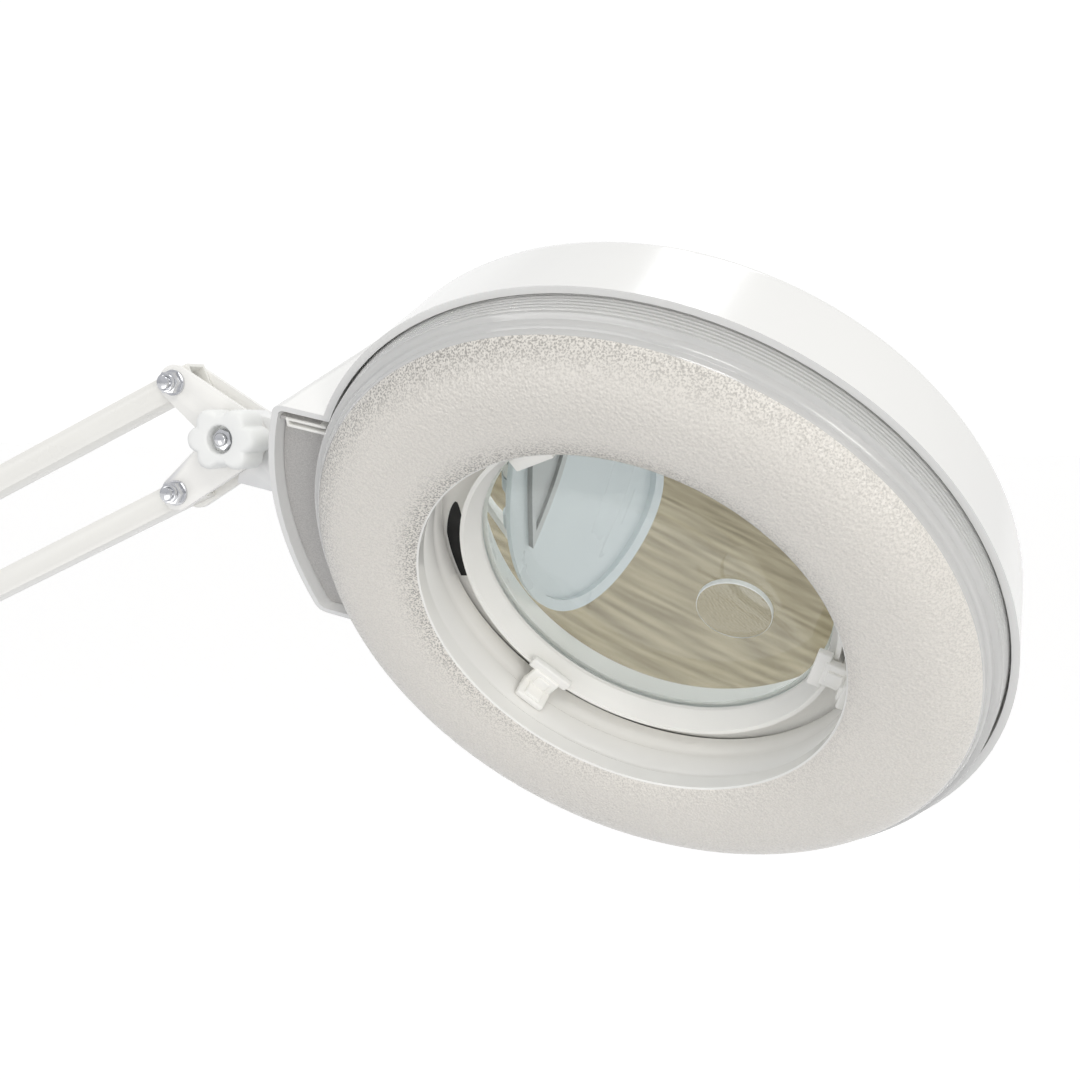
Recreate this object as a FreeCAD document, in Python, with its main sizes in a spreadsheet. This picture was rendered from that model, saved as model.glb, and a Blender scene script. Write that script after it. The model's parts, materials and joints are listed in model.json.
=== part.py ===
import FreeCAD, Part
import math
import os
import re
import Sketcher
from FreeCAD import Placement, Rotation, Vector

# Bench magnifying lamp: table clamp, two spring-balanced parallelogram arms of square
# tube, a tilt and roll joint, and a round lamp head with a glass lens in its middle.
# Millimetres, +Z up. The origin is the middle of the clamp's seat on the table top,
# on the vertical axis that the whole lamp swivels about.

doc = FreeCAD.newDocument("MagnifyingLamp")
sheet = doc.addObject("Spreadsheet::Sheet", "Sizes")

SIZES = [
    # how the lamp stands at rest, in degrees
    ("lower_lean", 105, "rise of the lower arm from the horizontal"),
    ("forearm_rise", 24, "rise of the forearm towards the head"),
    ("head_tilt", 11.7, "nose-down tilt of the head about the knob"),
    ("head_roll", 54, "roll of the head about its shaft"),
    ("cover_opening", 69, "how far the lens cover stands open"),
    # arms
    ("lower_length", 380, "pivot to pivot"),
    ("forearm_length", 400, "pivot to pivot"),
    ("lower_span", 40, "between the two pivots at each end of the lower arm"),
    ("forearm_span", 43, "between the two pivots at each end of the forearm"),
    ("base_height", 95, "base pivots above the table"),
    ("tube_height", 10, "square tube, across the pivots"),
    ("tube_width", 12, "square tube, along the pivots"),
    ("tube_wall", 1.2, ""),
    ("tube_tail", 7, "tube beyond its pivot"),
    ("plate_thick", 2.2, "bracket plates"),
    ("plate_gap", 12.6, "inside a pair of plates"),
    # pivots
    ("bolt_radius", 2.5, "M5 pivot bolt"),
    ("bolt_hole", 2.56, "running hole for it"),
    ("nut_radius", 4.6, "across the corners, halved"),
    ("nut_height", 3.6, ""),
    ("collar_radius", 3.6, "nylon collar of the locking nut"),
    ("collar_height", 1.6, ""),
    ("washer_radius", 5, ""),
    ("washer_thick", 1, ""),
    # tilt joint
    ("knob_reach", 29.7, "tilt axis ahead of the forearm pivots"),
    ("stud_radius", 3, "M6 clamping stud"),
    ("stud_hole", 3.06, ""),
    ("knob_thick", 15, ""),
    ("knob_recess", 5.3, "radius of the hole for the stud's head"),
    ("knob_recess_depth", 5, ""),
    ("hub_radius", 11, "round end of the tilt block"),
    ("flange_radius", 15, "roll bearing"),
    ("spindle_radius", 5, "hollow roll spindle"),
    ("spindle_bore", 3.2, ""),
    # head
    ("head_reach", 171.4, "tilt axis to the lens centre"),
    ("shaft_rise", 20, "roll axis behind the front edge of the lens seat"),
    ("lip_radius", 123.9, "open front edge of the drum"),
    ("lip_drop", 12.7, "front edge in front of the lens seat"),
    ("back_radius", 119.5, "drum at its back edge"),
    ("back_rise", 22.5, "back edge behind the lens seat"),
    ("shell_wall", 2.4, ""),
    ("opening_radius", 69.5, "hole in the back"),
    ("crown_height", 30, "back of the housing at the hole"),
    ("neck_radius", 142, "end wall of the neck at the front"),
    ("neck_top_radius", 127, "end wall of the neck at the back"),
    ("neck_half", 51, "half width of the neck"),
    ("neck_rise", 36, "back of the neck"),
    ("neck_corner", 5, ""),
    ("lens_radius", 65, "glass"),
    ("lens_edge", 3.5, "edge thickness"),
    ("lens_curve", 347, "radius of each face, three dioptre"),
    ("inset_radius", 13, "small strong lens"),
    ("inset_offset", 31, "its centre from the lens centre"),
    ("ring_inner", 64, "lens retaining ring"),
    ("ring_outer", 68.6, ""),
    ("ring_height", 8.1, ""),
    ("hole_radius", 74.8, "hole in the diffuser"),
    ("hole_drop", 28.3, ""),
    ("crown_radius", 115.7, "outer edge of the frosted crown"),
    ("crown_drop", 23.7, ""),
    ("diffuser_wall", 2, ""),
    ("cover_radius", 66.4, "flip-up lens cover, shuts inside the opening"),
    ("cover_hinge", 56, "hinge pin from the lens centre"),
    ("cover_hinge_rise", 22.1, ""),
    ("cover_level", 17, "rim of the closed cover"),
    ("hinge_pin", 1.5, "radius"),
    # clamp
    ("jaw_width", 44, ""),
    ("jaw_depth", 52, "reach over the table"),
    ("jaw_opening", 62, "between the seat and the lower jaw"),
    ("casting_thick", 7, ""),
    ("seat_thick", 2, "rubber under the upper jaw"),
    ("socket_radius", 13, ""),
    ("socket_height", 38, ""),
    ("bush_radius", 8, ""),
    ("pin_radius", 6, "swivel pin"),
    ("screw_radius", 5, "M10 clamp screw"),
    ("screw_length", 78, ""),
    ("screw_lift", 20, "pad face below the seat, when stored"),
    ("bar_radius", 2.5, "sliding handle bar"),
    ("bar_length", 56, ""),
    # springs
    ("coil_radius", 4.5, "mean radius of a spring"),
    ("wire_radius", 0.8, ""),
    ("coil_length", 92, ""),
]

for row, (alias, number, note) in enumerate(SIZES, start=1):
    sheet.set(f"A{row}", alias)
    sheet.set(f"B{row}", str(number))
    sheet.set(f"C{row}", note)
    sheet.setAlias(f"B{row}", alias)
doc.recompute()

ALIASES = {alias for alias, number, note in SIZES}
NODES = []
CLEAR = 0.05        # between a nut or washer and its bolt
SLIDE = 0.25        # between faces that move past each other


def size(expression):
    """The value of an expression of sheet aliases, or a plain number as it is."""
    if isinstance(expression, (int, float)):
        return float(expression)
    return float(sheet.evalExpression(expression))


def linked(expression):
    """The same expression as other objects of the document write it."""
    return re.sub(r"[a-z_]+", lambda word: "Sizes." + word.group()
                  if word.group() in ALIASES else word.group(), expression)


def bind(piece, **properties):
    for name, expression in properties.items():
        if isinstance(expression, str):
            piece.setExpression(name, linked(expression))
        else:
            setattr(piece, name, expression)
    return piece


def at(x=0, y=0, z=0, axis=None, degrees=0):
    turn = Rotation(axis, degrees) if axis else Rotation()
    return Placement(Vector(size(x), size(y), size(z)), turn)


X, Y, Z = Vector(1, 0, 0), Vector(0, 1, 0), Vector(0, 0, 1)
ALONG = {"x": Rotation(Z, X), "y": Rotation(Z, Y), "z": Rotation(), "-z": Rotation(Z, -Z),
         "-y": Rotation(Z, -Y)}


# ---- shapes that are bound to the sheet ----

def rod(name, radius, length, x=0, y=0, z=0, along="z"):
    piece = doc.addObject("Part::Cylinder", name)
    bind(piece, Radius=radius, Height=length)
    piece.Placement = Placement(Vector(size(x), size(y), size(z)), ALONG[along])
    return piece


def block(name, lx, ly, lz, x=0, y=0, z=0):
    """A box whose centre is at x, y and whose underside is at z."""
    piece = doc.addObject("Part::Box", name)
    bind(piece, Length=lx, Width=ly, Height=lz)
    piece.Placement = at(size(x) - size(lx) / 2, size(y) - size(ly) / 2, z)
    return piece


def hexagon(name, radius, height, x=0, y=0, z=0, along="z"):
    piece = doc.addObject("Part::Prism", name)
    piece.Polygon = 6
    bind(piece, Circumradius=radius, Height=height)
    piece.Placement = Placement(Vector(size(x), size(y), size(z)), ALONG[along])
    return piece


def chain(kind, name, pieces):
    """Boolean steps one after the other; the last one has the name that is asked for."""
    base = pieces[0]
    for number, tool in enumerate(pieces[1:], start=1):
        step = doc.addObject(kind, name if number == len(pieces) - 1 else f"{name}_{number}")
        step.Base = base
        step.Tool = tool
        base = step
    return base


def cut(name, *pieces):
    return chain("Part::Cut", name, pieces)


def fuse(name, *pieces):
    return chain("Part::Fuse", name, pieces)


def group(name, pieces):
    together = doc.addObject("Part::Compound", name)
    together.Links = list(pieces)
    return together


def plane_of(body, role):
    return next(item for item in body.Origin.OriginFeatures if item.Role == role)


def outline(body, role, corners):
    """A closed polygon on one of the body's planes, each corner held to the sheet."""
    sketch = body.newObject("Sketcher::SketchObject", body.Name + "_outline")
    sketch.AttachmentSupport = (plane_of(body, role), "")
    sketch.MapMode = "FlatFace"
    points = [Vector(size(across), size(up), 0) for across, up in corners]
    count = len(points)
    for number in range(count):
        sketch.addGeometry(Part.LineSegment(points[number], points[(number + 1) % count]), False)
    for number in range(count):
        sketch.addConstraint(Sketcher.Constraint("Coincident", number, 2, (number + 1) % count, 1))
    for number, corner in enumerate(corners):
        for kind, expression in zip(("DistanceX", "DistanceY"), corner):
            rule = Sketcher.Constraint(kind, -1, 1, number, 1, size(expression))
            index = sketch.addConstraint(rule)
            if isinstance(expression, str):
                sketch.setExpression(f"Constraints[{index}]", linked(expression))
    return sketch


def turned(name, corners):
    """A body of revolution about Z; corners are (radius, height)."""
    body = doc.addObject("PartDesign::Body", name)
    sketch = outline(body, "XZ_Plane", corners)
    spin = body.newObject("PartDesign::Revolution", name + "_turn")
    spin.Profile = sketch
    spin.ReferenceAxis = (sketch, ["V_Axis"])
    spin.Angle = 360
    return body


def padded(name, role, corners, length):
    """A body of constant section. XY pads along +Z, YZ along +X and XZ along -Y."""
    body = doc.addObject("PartDesign::Body", name)
    pad = body.newObject("PartDesign::Pad", name + "_pad")
    pad.Profile = outline(body, role, corners)
    bind(pad, Length=length)
    body.Tip = pad
    return body


def shaped(name, shape):
    piece = doc.addObject("Part::Feature", name)
    piece.Shape = shape
    return piece


def node(label, piece, frame=Placement()):
    """Gives a finished sub-part its own name and its place on the lamp."""
    piece.Label = label
    piece.Placement = frame.multiply(piece.Placement)
    NODES.append(piece)
    return piece


# ---- places of the moving bodies ----

def turn_y(degrees):
    return Placement(Vector(), Rotation(Y, degrees))


half_lower = size("lower_span / 2")
half_fore = size("forearm_span / 2")
BASE = at(0, 0, "base_height")
LOWER_REAR = at(-half_lower, 0, "base_height").multiply(turn_y(-size("lower_lean")))
LOWER_FRONT = at(half_lower, 0, "base_height").multiply(turn_y(-size("lower_lean")))
rear_top = LOWER_REAR.multVec(Vector(size("lower_length"), 0, 0))
ELBOW_RISE = 20        # elbow's lower pivots below its centre
ELBOW_OUT = 20         # forearm pivots ahead of its centre
ELBOW_LOW = 14         # forearm's lower pivot above its centre
ELBOW = at(rear_top.x + half_lower, 0, rear_top.z + ELBOW_RISE)
fore_low = ELBOW.multVec(Vector(ELBOW_OUT, 0, ELBOW_LOW))
FORE_LOW = at(fore_low.x, 0, fore_low.z).multiply(turn_y(-size("forearm_rise")))
FORE_HIGH = at(fore_low.x, 0, fore_low.z + 2 * half_fore).multiply(turn_y(-size("forearm_rise")))
fore_end = FORE_LOW.multVec(Vector(size("forearm_length"), 0, 0))
KNUCKLE = at(fore_end.x + size("knob_reach"), 0, fore_end.z + half_fore)
TILT = KNUCKLE.multiply(turn_y(size("head_tilt")))
ROLLED = TILT.multiply(Placement(Vector(), Rotation(X, -size("head_roll"))))
HEAD = ROLLED.multiply(at("head_reach", 0, "-shaft_rise"))
HINGE = HEAD.multiply(at("-cover_hinge", 0, "cover_hinge_rise"))
COVER = HINGE.multiply(turn_y(-size("cover_opening"))).multiply(at("cover_hinge", 0,
                                                                   "-cover_hinge_rise"))
BASE_ANCHOR = (0, 0, -20)       # spring pins, from the middle of their bracket
ELBOW_ANCHOR = (14.8, 0, 27)
PIN_HOLE = 2.05
TUBE_ANCHOR = 160               # spring pin along the tube
SPRING_OUT = 14.6               # spring's middle from the arm's middle
half_gap = size("plate_gap / 2")
face = half_gap + size("plate_thick")        # outer face of a bracket plate


# ---- clamp ----

def clamp():
    width, thick, floor = "jaw_width", "casting_thick", "seat_thick + casting_thick"
    back = -30
    upper = block("jaw_top", "jaw_depth", width, thick, back + size("jaw_depth / 2"), 0, "seat_thick")
    spine = block("jaw_spine", thick, width, "jaw_opening + 2 * casting_thick + seat_thick",
                  back - size("casting_thick / 2"), 0, "-jaw_opening - casting_thick")
    lower = block("jaw_low", "jaw_depth", 26, thick, back + size("jaw_depth / 2"), 0,
                  "-jaw_opening - casting_thick")
    boss = rod("screw_boss", 10, "casting_thick + 6", 0, 0, "-jaw_opening - casting_thick - 6")
    socket = rod("socket", "socket_radius", "socket_height", 0, 0, floor)
    gusset = padded("gusset", "XZ_Plane", [(-36, "seat_thick + casting_thick"),
                                           (-8, "seat_thick + casting_thick"),
                                           (-8, "seat_thick + casting_thick + 26")], 6)
    gusset.Placement = at(0, 3, 0)
    solid = fuse("clamp_solid", upper, spine, lower, boss, socket, gusset)
    bore = rod("socket_bore", "bush_radius", "socket_height + 1", 0, 0, floor)
    thread = rod("screw_bore", "screw_radius + 0.06", 40, 0, 0, "-jaw_opening - 30")
    lock = rod("lock_bore", 2.56, 30, 0, 0, 32, "y")
    node("clamp_frame", cut("clamp_casting", solid, bore, thread, lock))

    sleeve = rod("bush_sleeve", "bush_radius - 0.05", "socket_height", 0, 0, floor)
    collar = rod("bush_collar", "socket_radius - 1", 2, 0, 0, floor + " + socket_height")
    hole = rod("bush_hole", "pin_radius + 0.06", 60, 0, 0, 0)
    side = rod("bush_side", 2.56, 30, 0, 0, 32, "y")
    node("socket_bush", cut("bush", fuse("bush_solid", sleeve, collar), hole, side))

    shank = rod("lock_shank", 2.5, 13, 0, "pin_radius + 0.4", 32, "y")
    wing = block("lock_wing", 3, 8, 18, 0, 22, 23)
    boss = rod("lock_boss", 5, 6, 0, 15, 32, "y")
    node("socket_lock_screw", fuse("lock_screw", shank, boss, wing))
    node("seat_pad", block("seat_rubber", 30, 38, "seat_thick"))


def clamp_screw():
    top = "-screw_lift - 3"
    pad = rod("pad_disc", 13, 3, 0, 0, top)
    cup = rod("pad_cup", 8, 6, 0, 0, "-screw_lift - 9")
    hollow = rod("pad_hollow", 5.5, 7, 0, 0, "-screw_lift - 10")
    node("clamp_pad", cut("pad", fuse("pad_solid", pad, cup), hollow))
    tip = rod("screw_tip", "screw_radius - 0.1", 5, 0, 0, "-screw_lift - 8.3")
    shank = rod("screw_shank", "screw_radius", "screw_length", 0, 0, "-screw_lift - 8.3 - screw_length")
    head = rod("screw_head", 7.5, 14, 0, 0, "-screw_lift - 8.3 - screw_length - 14")
    middle = "-screw_lift - 8.3 - screw_length - 7"
    hole = rod("screw_hole", "bar_radius + 0.06", 20, 0, -10, middle, "y")
    node("clamp_screw", cut("screw", fuse("screw_solid", tip, shank, head), hole))
    bar = rod("bar", "bar_radius", "bar_length", 0, "-bar_length / 2", middle, "y")
    knobs = [rod(f"bar_end_{side}", 4, 5, 0, f"{side} * (bar_length / 2 + 2.5) - 2.5", middle, "y")
             for side in (-1, 1)]
    node("clamp_handle", fuse("handle", bar, *knobs))


# ---- brackets, bolts and tubes ----

def link(first, second, radius_one, radius_two, thick):
    """A flat link: the outline round two circles of the XZ plane, padded along +Y."""
    span = second.sub(first)
    length = span.Length
    ahead = span.multiply(1 / length)
    up = Vector(-ahead.z, 0, ahead.x)
    lean = (radius_one - radius_two) / length
    rise = math.sqrt(1 - lean * lean)
    ends = []
    for side in (1, -1):
        normal = ahead * lean + up * (side * rise)
        ends.append((first + normal * radius_one, second + normal * radius_two))
    (top_one, top_two), (low_one, low_two) = ends
    edges = [Part.LineSegment(top_one, top_two).toShape(),
             Part.Arc(top_two, second + ahead * radius_two, low_two).toShape(),
             Part.LineSegment(low_two, low_one).toShape(),
             Part.Arc(low_one, first - ahead * radius_one, top_one).toShape()]
    return Part.Face(Part.Wire(edges)).extrude(Vector(0, thick, 0))


def plate_pair(label, frame, links, holes, middle=None):
    """Front and back plates of a bracket: links round a filled middle, drilled right through."""
    thick = size("plate_thick")
    for side, low in (("front", -face), ("back", half_gap)):
        parts = [link(Vector(*one), Vector(*two), r_one, r_two, thick) for one, two, r_one, r_two in links]
        if middle:
            corners = [Vector(*corner) for corner in middle + middle[:1]]
            parts.append(Part.Face(Part.makePolygon(corners)).extrude(Vector(0, thick, 0)))
        plate = parts[0].fuse(parts[1:]).removeSplitter()
        plate.translate(Vector(0, low, 0))
        for (x, _, z), radius in holes:
            plate = plate.cut(Part.makeCylinder(radius, 40, Vector(x, -20, z), Y))
        node(f"{label}_plate_{side}", shaped(f"{label}_{side}", plate), frame)


def fasteners(label, frame, pivots):
    """Bolts through a bracket's pivots, heads at the back, locking nuts at the front."""
    bolts, nuts, washers = [], [], []
    tip = size("washer_thick + nut_height + collar_height") + 1.6
    for number, (x, _, z) in enumerate(pivots):
        name = f"{label}_{number}"
        shank = rod(name + "_shank", "bolt_radius", 2 * face + tip, x, -face - tip, z, "y")
        head = hexagon(name + "_head", "nut_radius", 3.2, x, face, z, "y")
        bolts.append(fuse(name + "_bolt", shank, head))
        low = -face - size("washer_thick")
        washer = rod(name + "_disc", "washer_radius", "washer_thick", x, low, z, "y")
        bore = rod(name + "_bore", size("bolt_radius") + CLEAR, 40, x, -40, z, "y")
        washers.append(cut(name + "_washer", washer, bore))
        nut = hexagon(name + "_hex", "nut_radius", "nut_height", x, low, z, "-y")
        collar = rod(name + "_collar", "collar_radius", "collar_height", x,
                     low - size("nut_height"), z, "-y")
        thread = rod(name + "_thread", size("bolt_radius") + CLEAR, 40, x, -40, z, "y")
        nuts.append(cut(name + "_nut", fuse(name + "_body", nut, collar), thread))
    node(f"{label}_bolts", group(f"{label}_bolt_set", bolts), frame)
    node(f"{label}_nuts", group(f"{label}_nut_set", nuts), frame)
    node(f"{label}_washers", group(f"{label}_washer_set", washers), frame)


def tube(label, length, frame, spring_pin=False):
    """Square tube along X from its first pivot, drilled for its pivots and its spring pin."""
    body = padded(label + "_bar", "YZ_Plane",
                  [("-tube_width / 2", "-tube_height / 2"), ("tube_width / 2", "-tube_height / 2"),
                   ("tube_width / 2", "tube_height / 2"), ("-tube_width / 2", "tube_height / 2")],
                  f"{length} + 2 * tube_tail")
    body.Placement = at("-tube_tail")
    hollow = block(label + "_hollow", f"{length} + 4 * tube_tail", "tube_width - 2 * tube_wall",
                   "tube_height - 2 * tube_wall", f"{length} / 2", 0, "tube_wall - tube_height / 2")
    drills = [rod(f"{label}_drill_{end}", "bolt_hole", 30, f"{end} * {length}", -15, 0, "y")
              for end in (0, 1)]
    if spring_pin:
        drills.append(rod(label + "_pin_drill", PIN_HOLE, 30, TUBE_ANCHOR, -15, 0, "y"))
    node(label, cut(label + "_cut", body, hollow, *drills), frame)


def base_bracket():
    low = size("seat_thick + casting_thick + socket_height") + 2.4 - size("base_height")
    yoke = block("yoke_block", 30, "plate_gap - 0.2", 20, 0, 0, low)
    pin = rod("swivel_shank", "pin_radius", 46, 0, 0, low - 36)
    socket = rod("pin_hole", "pin_radius", 11, 0, 0, low - 1)
    node("base_block", cut("yoke", yoke, socket), BASE)
    node("swivel_pin", pin, BASE)
    left, right = (-half_lower, 0, 0), (half_lower, 0, 0)
    foot_left, foot_right = (-9, 0, low + 10), (9, 0, low + 10)
    links = [(left, right, 9, 9), (left, foot_left, 9, 10), (right, foot_right, 9, 10),
             (foot_left, foot_right, 10, 10)]
    bolt = size("bolt_hole")
    anchor = [(BASE_ANCHOR, PIN_HOLE)]
    plate_pair("base", BASE, links, [(spot, bolt) for spot in (left, right)] + anchor,
               [left, right, foot_right, foot_left])
    fasteners("base", BASE, [left, right])


def elbow_bracket():
    rear, front = (-half_lower, 0, -ELBOW_RISE), (half_lower, 0, -ELBOW_RISE)
    low, high = (ELBOW_OUT, 0, ELBOW_LOW), (ELBOW_OUT, 0, ELBOW_LOW + 2 * half_fore)
    links = [(rear, front, 8.5, 8.5), (front, low, 8.5, 8.5), (low, high, 8.5, 8.5),
             (rear, high, 8.5, 8.5)]
    bolt = size("bolt_hole")
    anchor = [(ELBOW_ANCHOR, PIN_HOLE)]
    plate_pair("elbow", ELBOW, links, [(spot, bolt) for spot in (rear, front, low, high)] + anchor,
               [rear, front, low, high])
    fasteners("elbow", ELBOW, [rear, front, low, high])


def knuckle_bracket():
    reach = size("knob_reach")
    high, low, knob = (-reach, 0, half_fore), (-reach, 0, -half_fore), (0, 0, 0)
    links = [(high, knob, 7, 10.5), (low, knob, 7, 10.5)]
    bolt = size("bolt_hole")
    plate_pair("knuckle", KNUCKLE, links, [(high, bolt), (low, bolt), (knob, size("stud_hole"))])
    fasteners("knuckle", KNUCKLE, [high, low])


# ---- tilt joint ----

def knob_shape(front, thick):
    """Wing-lobed knob: two long lobes across, two short ones up and down."""
    lobes = [(0, 0, 10.5), (9.6, 0, 5.6), (-9.6, 0, 5.6), (0, 6.4, 5.6), (0, -6.4, 5.6)]
    discs = [Part.makeCylinder(radius, thick, Vector(x, front, z), Y) for x, z, radius in lobes]
    solid = discs[0].fuse(discs[1:]).removeSplitter()
    rims = [edge for edge in solid.Edges if abs(edge.BoundBox.YMax - front) < 0.01]
    return solid.makeFillet(1.6, rims)


def tilt_joint():
    thick = size("knob_thick")
    back = -face - 0.8
    front = back - thick
    knob = shaped("knob_solid", knob_shape(front, thick))
    recess = rod("knob_hole", "knob_recess", "knob_recess_depth + 1", 0, front - 1, 0, "y")
    bore = rod("knob_bore", size("stud_radius") + CLEAR, 40, 0, -40, 0, "y")
    node("tilt_knob", cut("knob", knob, recess, bore), KNUCKLE)
    floor = front + size("knob_recess_depth")
    shank = rod("stud_shank", "stud_radius", face + 9 - floor, 0, floor, 0, "y")
    head = hexagon("stud_head", 4.4, 3.4, 0, floor, 0, "-y")
    node("tilt_stud", fuse("stud", shank, head), KNUCKLE)
    disc = rod("tilt_disc", 8, 0.6, 0, -face - 0.7, 0, "y")
    node("tilt_washer", cut("tilt_ring", disc, rod("tilt_ring_hole", "stud_hole", 40, 0, -20, 0, "y")),
         KNUCKLE)
    nut = hexagon("tilt_hex", 5.8, 5, 0, face, 0, "y")
    node("tilt_nut", cut("tilt_lock", nut, rod("tilt_thread", "stud_hole", 40, 0, -20, 0, "y")), KNUCKLE)

    wide = size("plate_gap") - 2 * SLIDE
    hub = rod("hub", "hub_radius", wide, 0, -wide / 2, 0, "y")
    tongue = block("tongue", 22, wide, 27.5, 11, 0, -17.5)
    flange = rod("flange", "flange_radius", 4, 20, 0, 0, "x")
    cross = rod("hub_bore", "stud_hole", 40, 0, -20, 0, "y")
    bearing = rod("hub_bearing", "spindle_radius + 0.06", 14, 11, 0, 0, "x")
    tapped = rod("roll_screw_hole", 2.05, 20, 16, 0, -19)
    node("tilt_block", cut("tilt_body", fuse("tilt_solid", hub, tongue, flange), cross, bearing, tapped),
         TILT)
    node("roll_friction_screw", rod("roll_screw", 2, 11.5, 16, 0, -16.8), TILT)


# ---- head ----

def drum_solid(inset, front):
    """The drum as a full solid, drawn in by inset from its outer face."""
    radius_front = size("lip_radius") - inset
    radius_back = size("back_radius") - inset
    rise, crown = size("back_rise") - inset * 0.7, size("crown_height") - inset
    soft = 5
    wall_top = Vector(radius_back + 0.5, 0, rise - soft)
    corner = Vector(radius_back - 1.2, 0, rise - 1.0)
    roof = Vector(radius_back - soft, 0, rise + 0.9)
    edge = Vector(size("opening_radius"), 0, crown)
    inner = Vector(0, 0, crown)
    foot = Vector(0, 0, front)
    lip = Vector(radius_front, 0, front)
    edges = [Part.LineSegment(foot, lip).toShape(), Part.LineSegment(lip, wall_top).toShape(),
             Part.Arc(wall_top, corner, roof).toShape(), Part.LineSegment(roof, edge).toShape(),
             Part.LineSegment(edge, inner).toShape(), Part.LineSegment(inner, foot).toShape()]
    return Part.Face(Part.Wire(edges)).revolve(Vector(), Z, 360)


def neck_solid(inset, front):
    """The neck: a block with a curved, leaning end wall and a back that slopes to the drum."""
    rise = size("neck_rise") - inset
    half = size("neck_half") - inset
    slope_start = size("neck_top_radius") - 22
    profile = [(-160, front), (-60, front), (-60, 20 - inset), (-84, 26.5 - inset),
               (-slope_start, rise), (-160, rise), (-160, front)]
    block_shape = Part.Face(Part.makePolygon([Vector(x, -half, z) for x, z in profile]))
    block_shape = block_shape.extrude(Vector(0, 2 * half, 0))
    lean = (size("neck_radius") - size("neck_top_radius")) / (size("neck_rise") + size("lip_drop"))
    low_radius = size("neck_radius") - inset - lean * (front + size("lip_drop"))
    high_radius = size("neck_top_radius") - inset
    cone = Part.makeCone(low_radius, high_radius, size("neck_rise") - front, Vector(0, 0, front))
    solid = block_shape.common(cone)
    corner = max(size("neck_corner") - inset, 1.5)
    outer = [edge for edge in solid.Edges
             if edge.BoundBox.ZLength > 20 and edge.BoundBox.XMin < -100
             and abs(abs(edge.CenterOfMass.y) - half) < 3]
    solid = solid.makeFillet(corner, outer)
    top = [edge for edge in solid.Edges if abs(edge.BoundBox.ZMin - rise) < 0.01
           and edge.BoundBox.ZLength < 0.01]
    return solid.makeFillet(2.5 if inset == 0 else 1.2, top)


def housing():
    wall = size("shell_wall")
    front = -size("lip_drop")
    outer = drum_solid(0, front).fuse(neck_solid(0, front)).removeSplitter()
    hollow = drum_solid(wall, front - 1).fuse(neck_solid(wall, front - 1))
    shell = outer.cut(hollow)
    shaft = Vector(-size("head_reach"), 0, size("shaft_rise"))
    seat = Part.makeCylinder(11, 6, shaft + Vector(39, 0, 0), X)
    shell = shell.fuse(seat.common(neck_solid(0.5, front))).removeSplitter()
    shell = shell.cut(Part.makeCylinder(size("opening_radius"), 60, Vector(0, 0, -10)))
    shell = shell.cut(Part.makeCylinder(size("spindle_radius") + CLEAR, 60, shaft, X))
    shell = shell.cut(Part.makeBox(12.8, 19.2, 20, Vector(-121.4, 14.4, 20)))
    node("head_housing", shaped("housing", shell), HEAD)

    boss = Part.makeCone(14, 17, 30, shaft + Vector(24.3, 0, 0), X)
    boss = boss.cut(drum_solid(-0.01, front)).cut(neck_solid(0, front))
    boss = max(boss.Solids, key=lambda solid: solid.Volume)
    boss = boss.cut(Part.makeCylinder(size("spindle_radius") + CLEAR, 60, shaft, X))
    node("neck_boss", shaped("boss", boss), HEAD)
    spindle = rod("spindle_tube", "spindle_radius", 41, 13, 0, 0, "x")
    bore = rod("spindle_hole", "spindle_bore", 60, 5, 0, 0, "x")
    node("roll_spindle", cut("spindle", spindle, bore), ROLLED)
    nut = hexagon("roll_hex", 9, 5, 45, 0, 0, "x")
    thread = rod("roll_thread", size("spindle_radius") + CLEAR, 30, 40, 0, 0, "x")
    node("roll_nut", cut("roll_lock", nut, thread), ROLLED)

    inside = neck_solid(wall + 0.3, front - 1)
    slab = Part.makeBox(80, 110, 2, Vector(-150, -55, -8.6))
    panel = inside.common(slab).cut(Part.makeCylinder(size("lip_radius") - 1.2, 60, Vector(0, 0, -30)))
    rib = Part.makeBox(18, 1.6, 3, Vector(-134, -45.5, -11.5))
    panel = panel.fuse(rib.common(inside).cut(
        Part.makeCylinder(size("lip_radius") - 1.2, 60, Vector(0, 0, -30)))).removeSplitter()
    node("neck_panel", shaped("panel", panel), HEAD)


def light_unit():
    ledge, step = 0.5, 2
    node("lens_holder", turned("holder", [
        (65.4, ledge), (80, ledge), (80, ledge + step), (70.2, ledge + step), (69.3, 27.3),
        (67.6, 27.3), (68.2, 7.6), (62.8, 7.6), (62.8, 5.6), (65.4, 5.6)]), HEAD)
    node("reflector", turned("reflector_pan", [
        (81, 4), (114, 12), (114.4, 13.4), (80.6, 5.4)]), HEAD)
    node("led_ring", turned("led_board", [(88, 3), (106, 3), (106, 4.4), (88, 4.4)]), HEAD)
    chips = []
    count = 36
    for number in range(count):
        angle = 360 / count * number
        chip = block(f"led_{number}", 3.5, 3.5, 0.9)
        spot = Placement(Vector(), Rotation(Z, angle)).multiply(at(97, 0, 2.05))
        chip.Placement = spot.multiply(at(-1.75, -1.75, 0))
        chips.append(chip)
    node("led_chips", group("led_set", chips), HEAD)
    driver = block("driver_case", 9.5, 28, 13, -120.25, -24, -4)
    node("led_driver", driver, HEAD)


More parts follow.
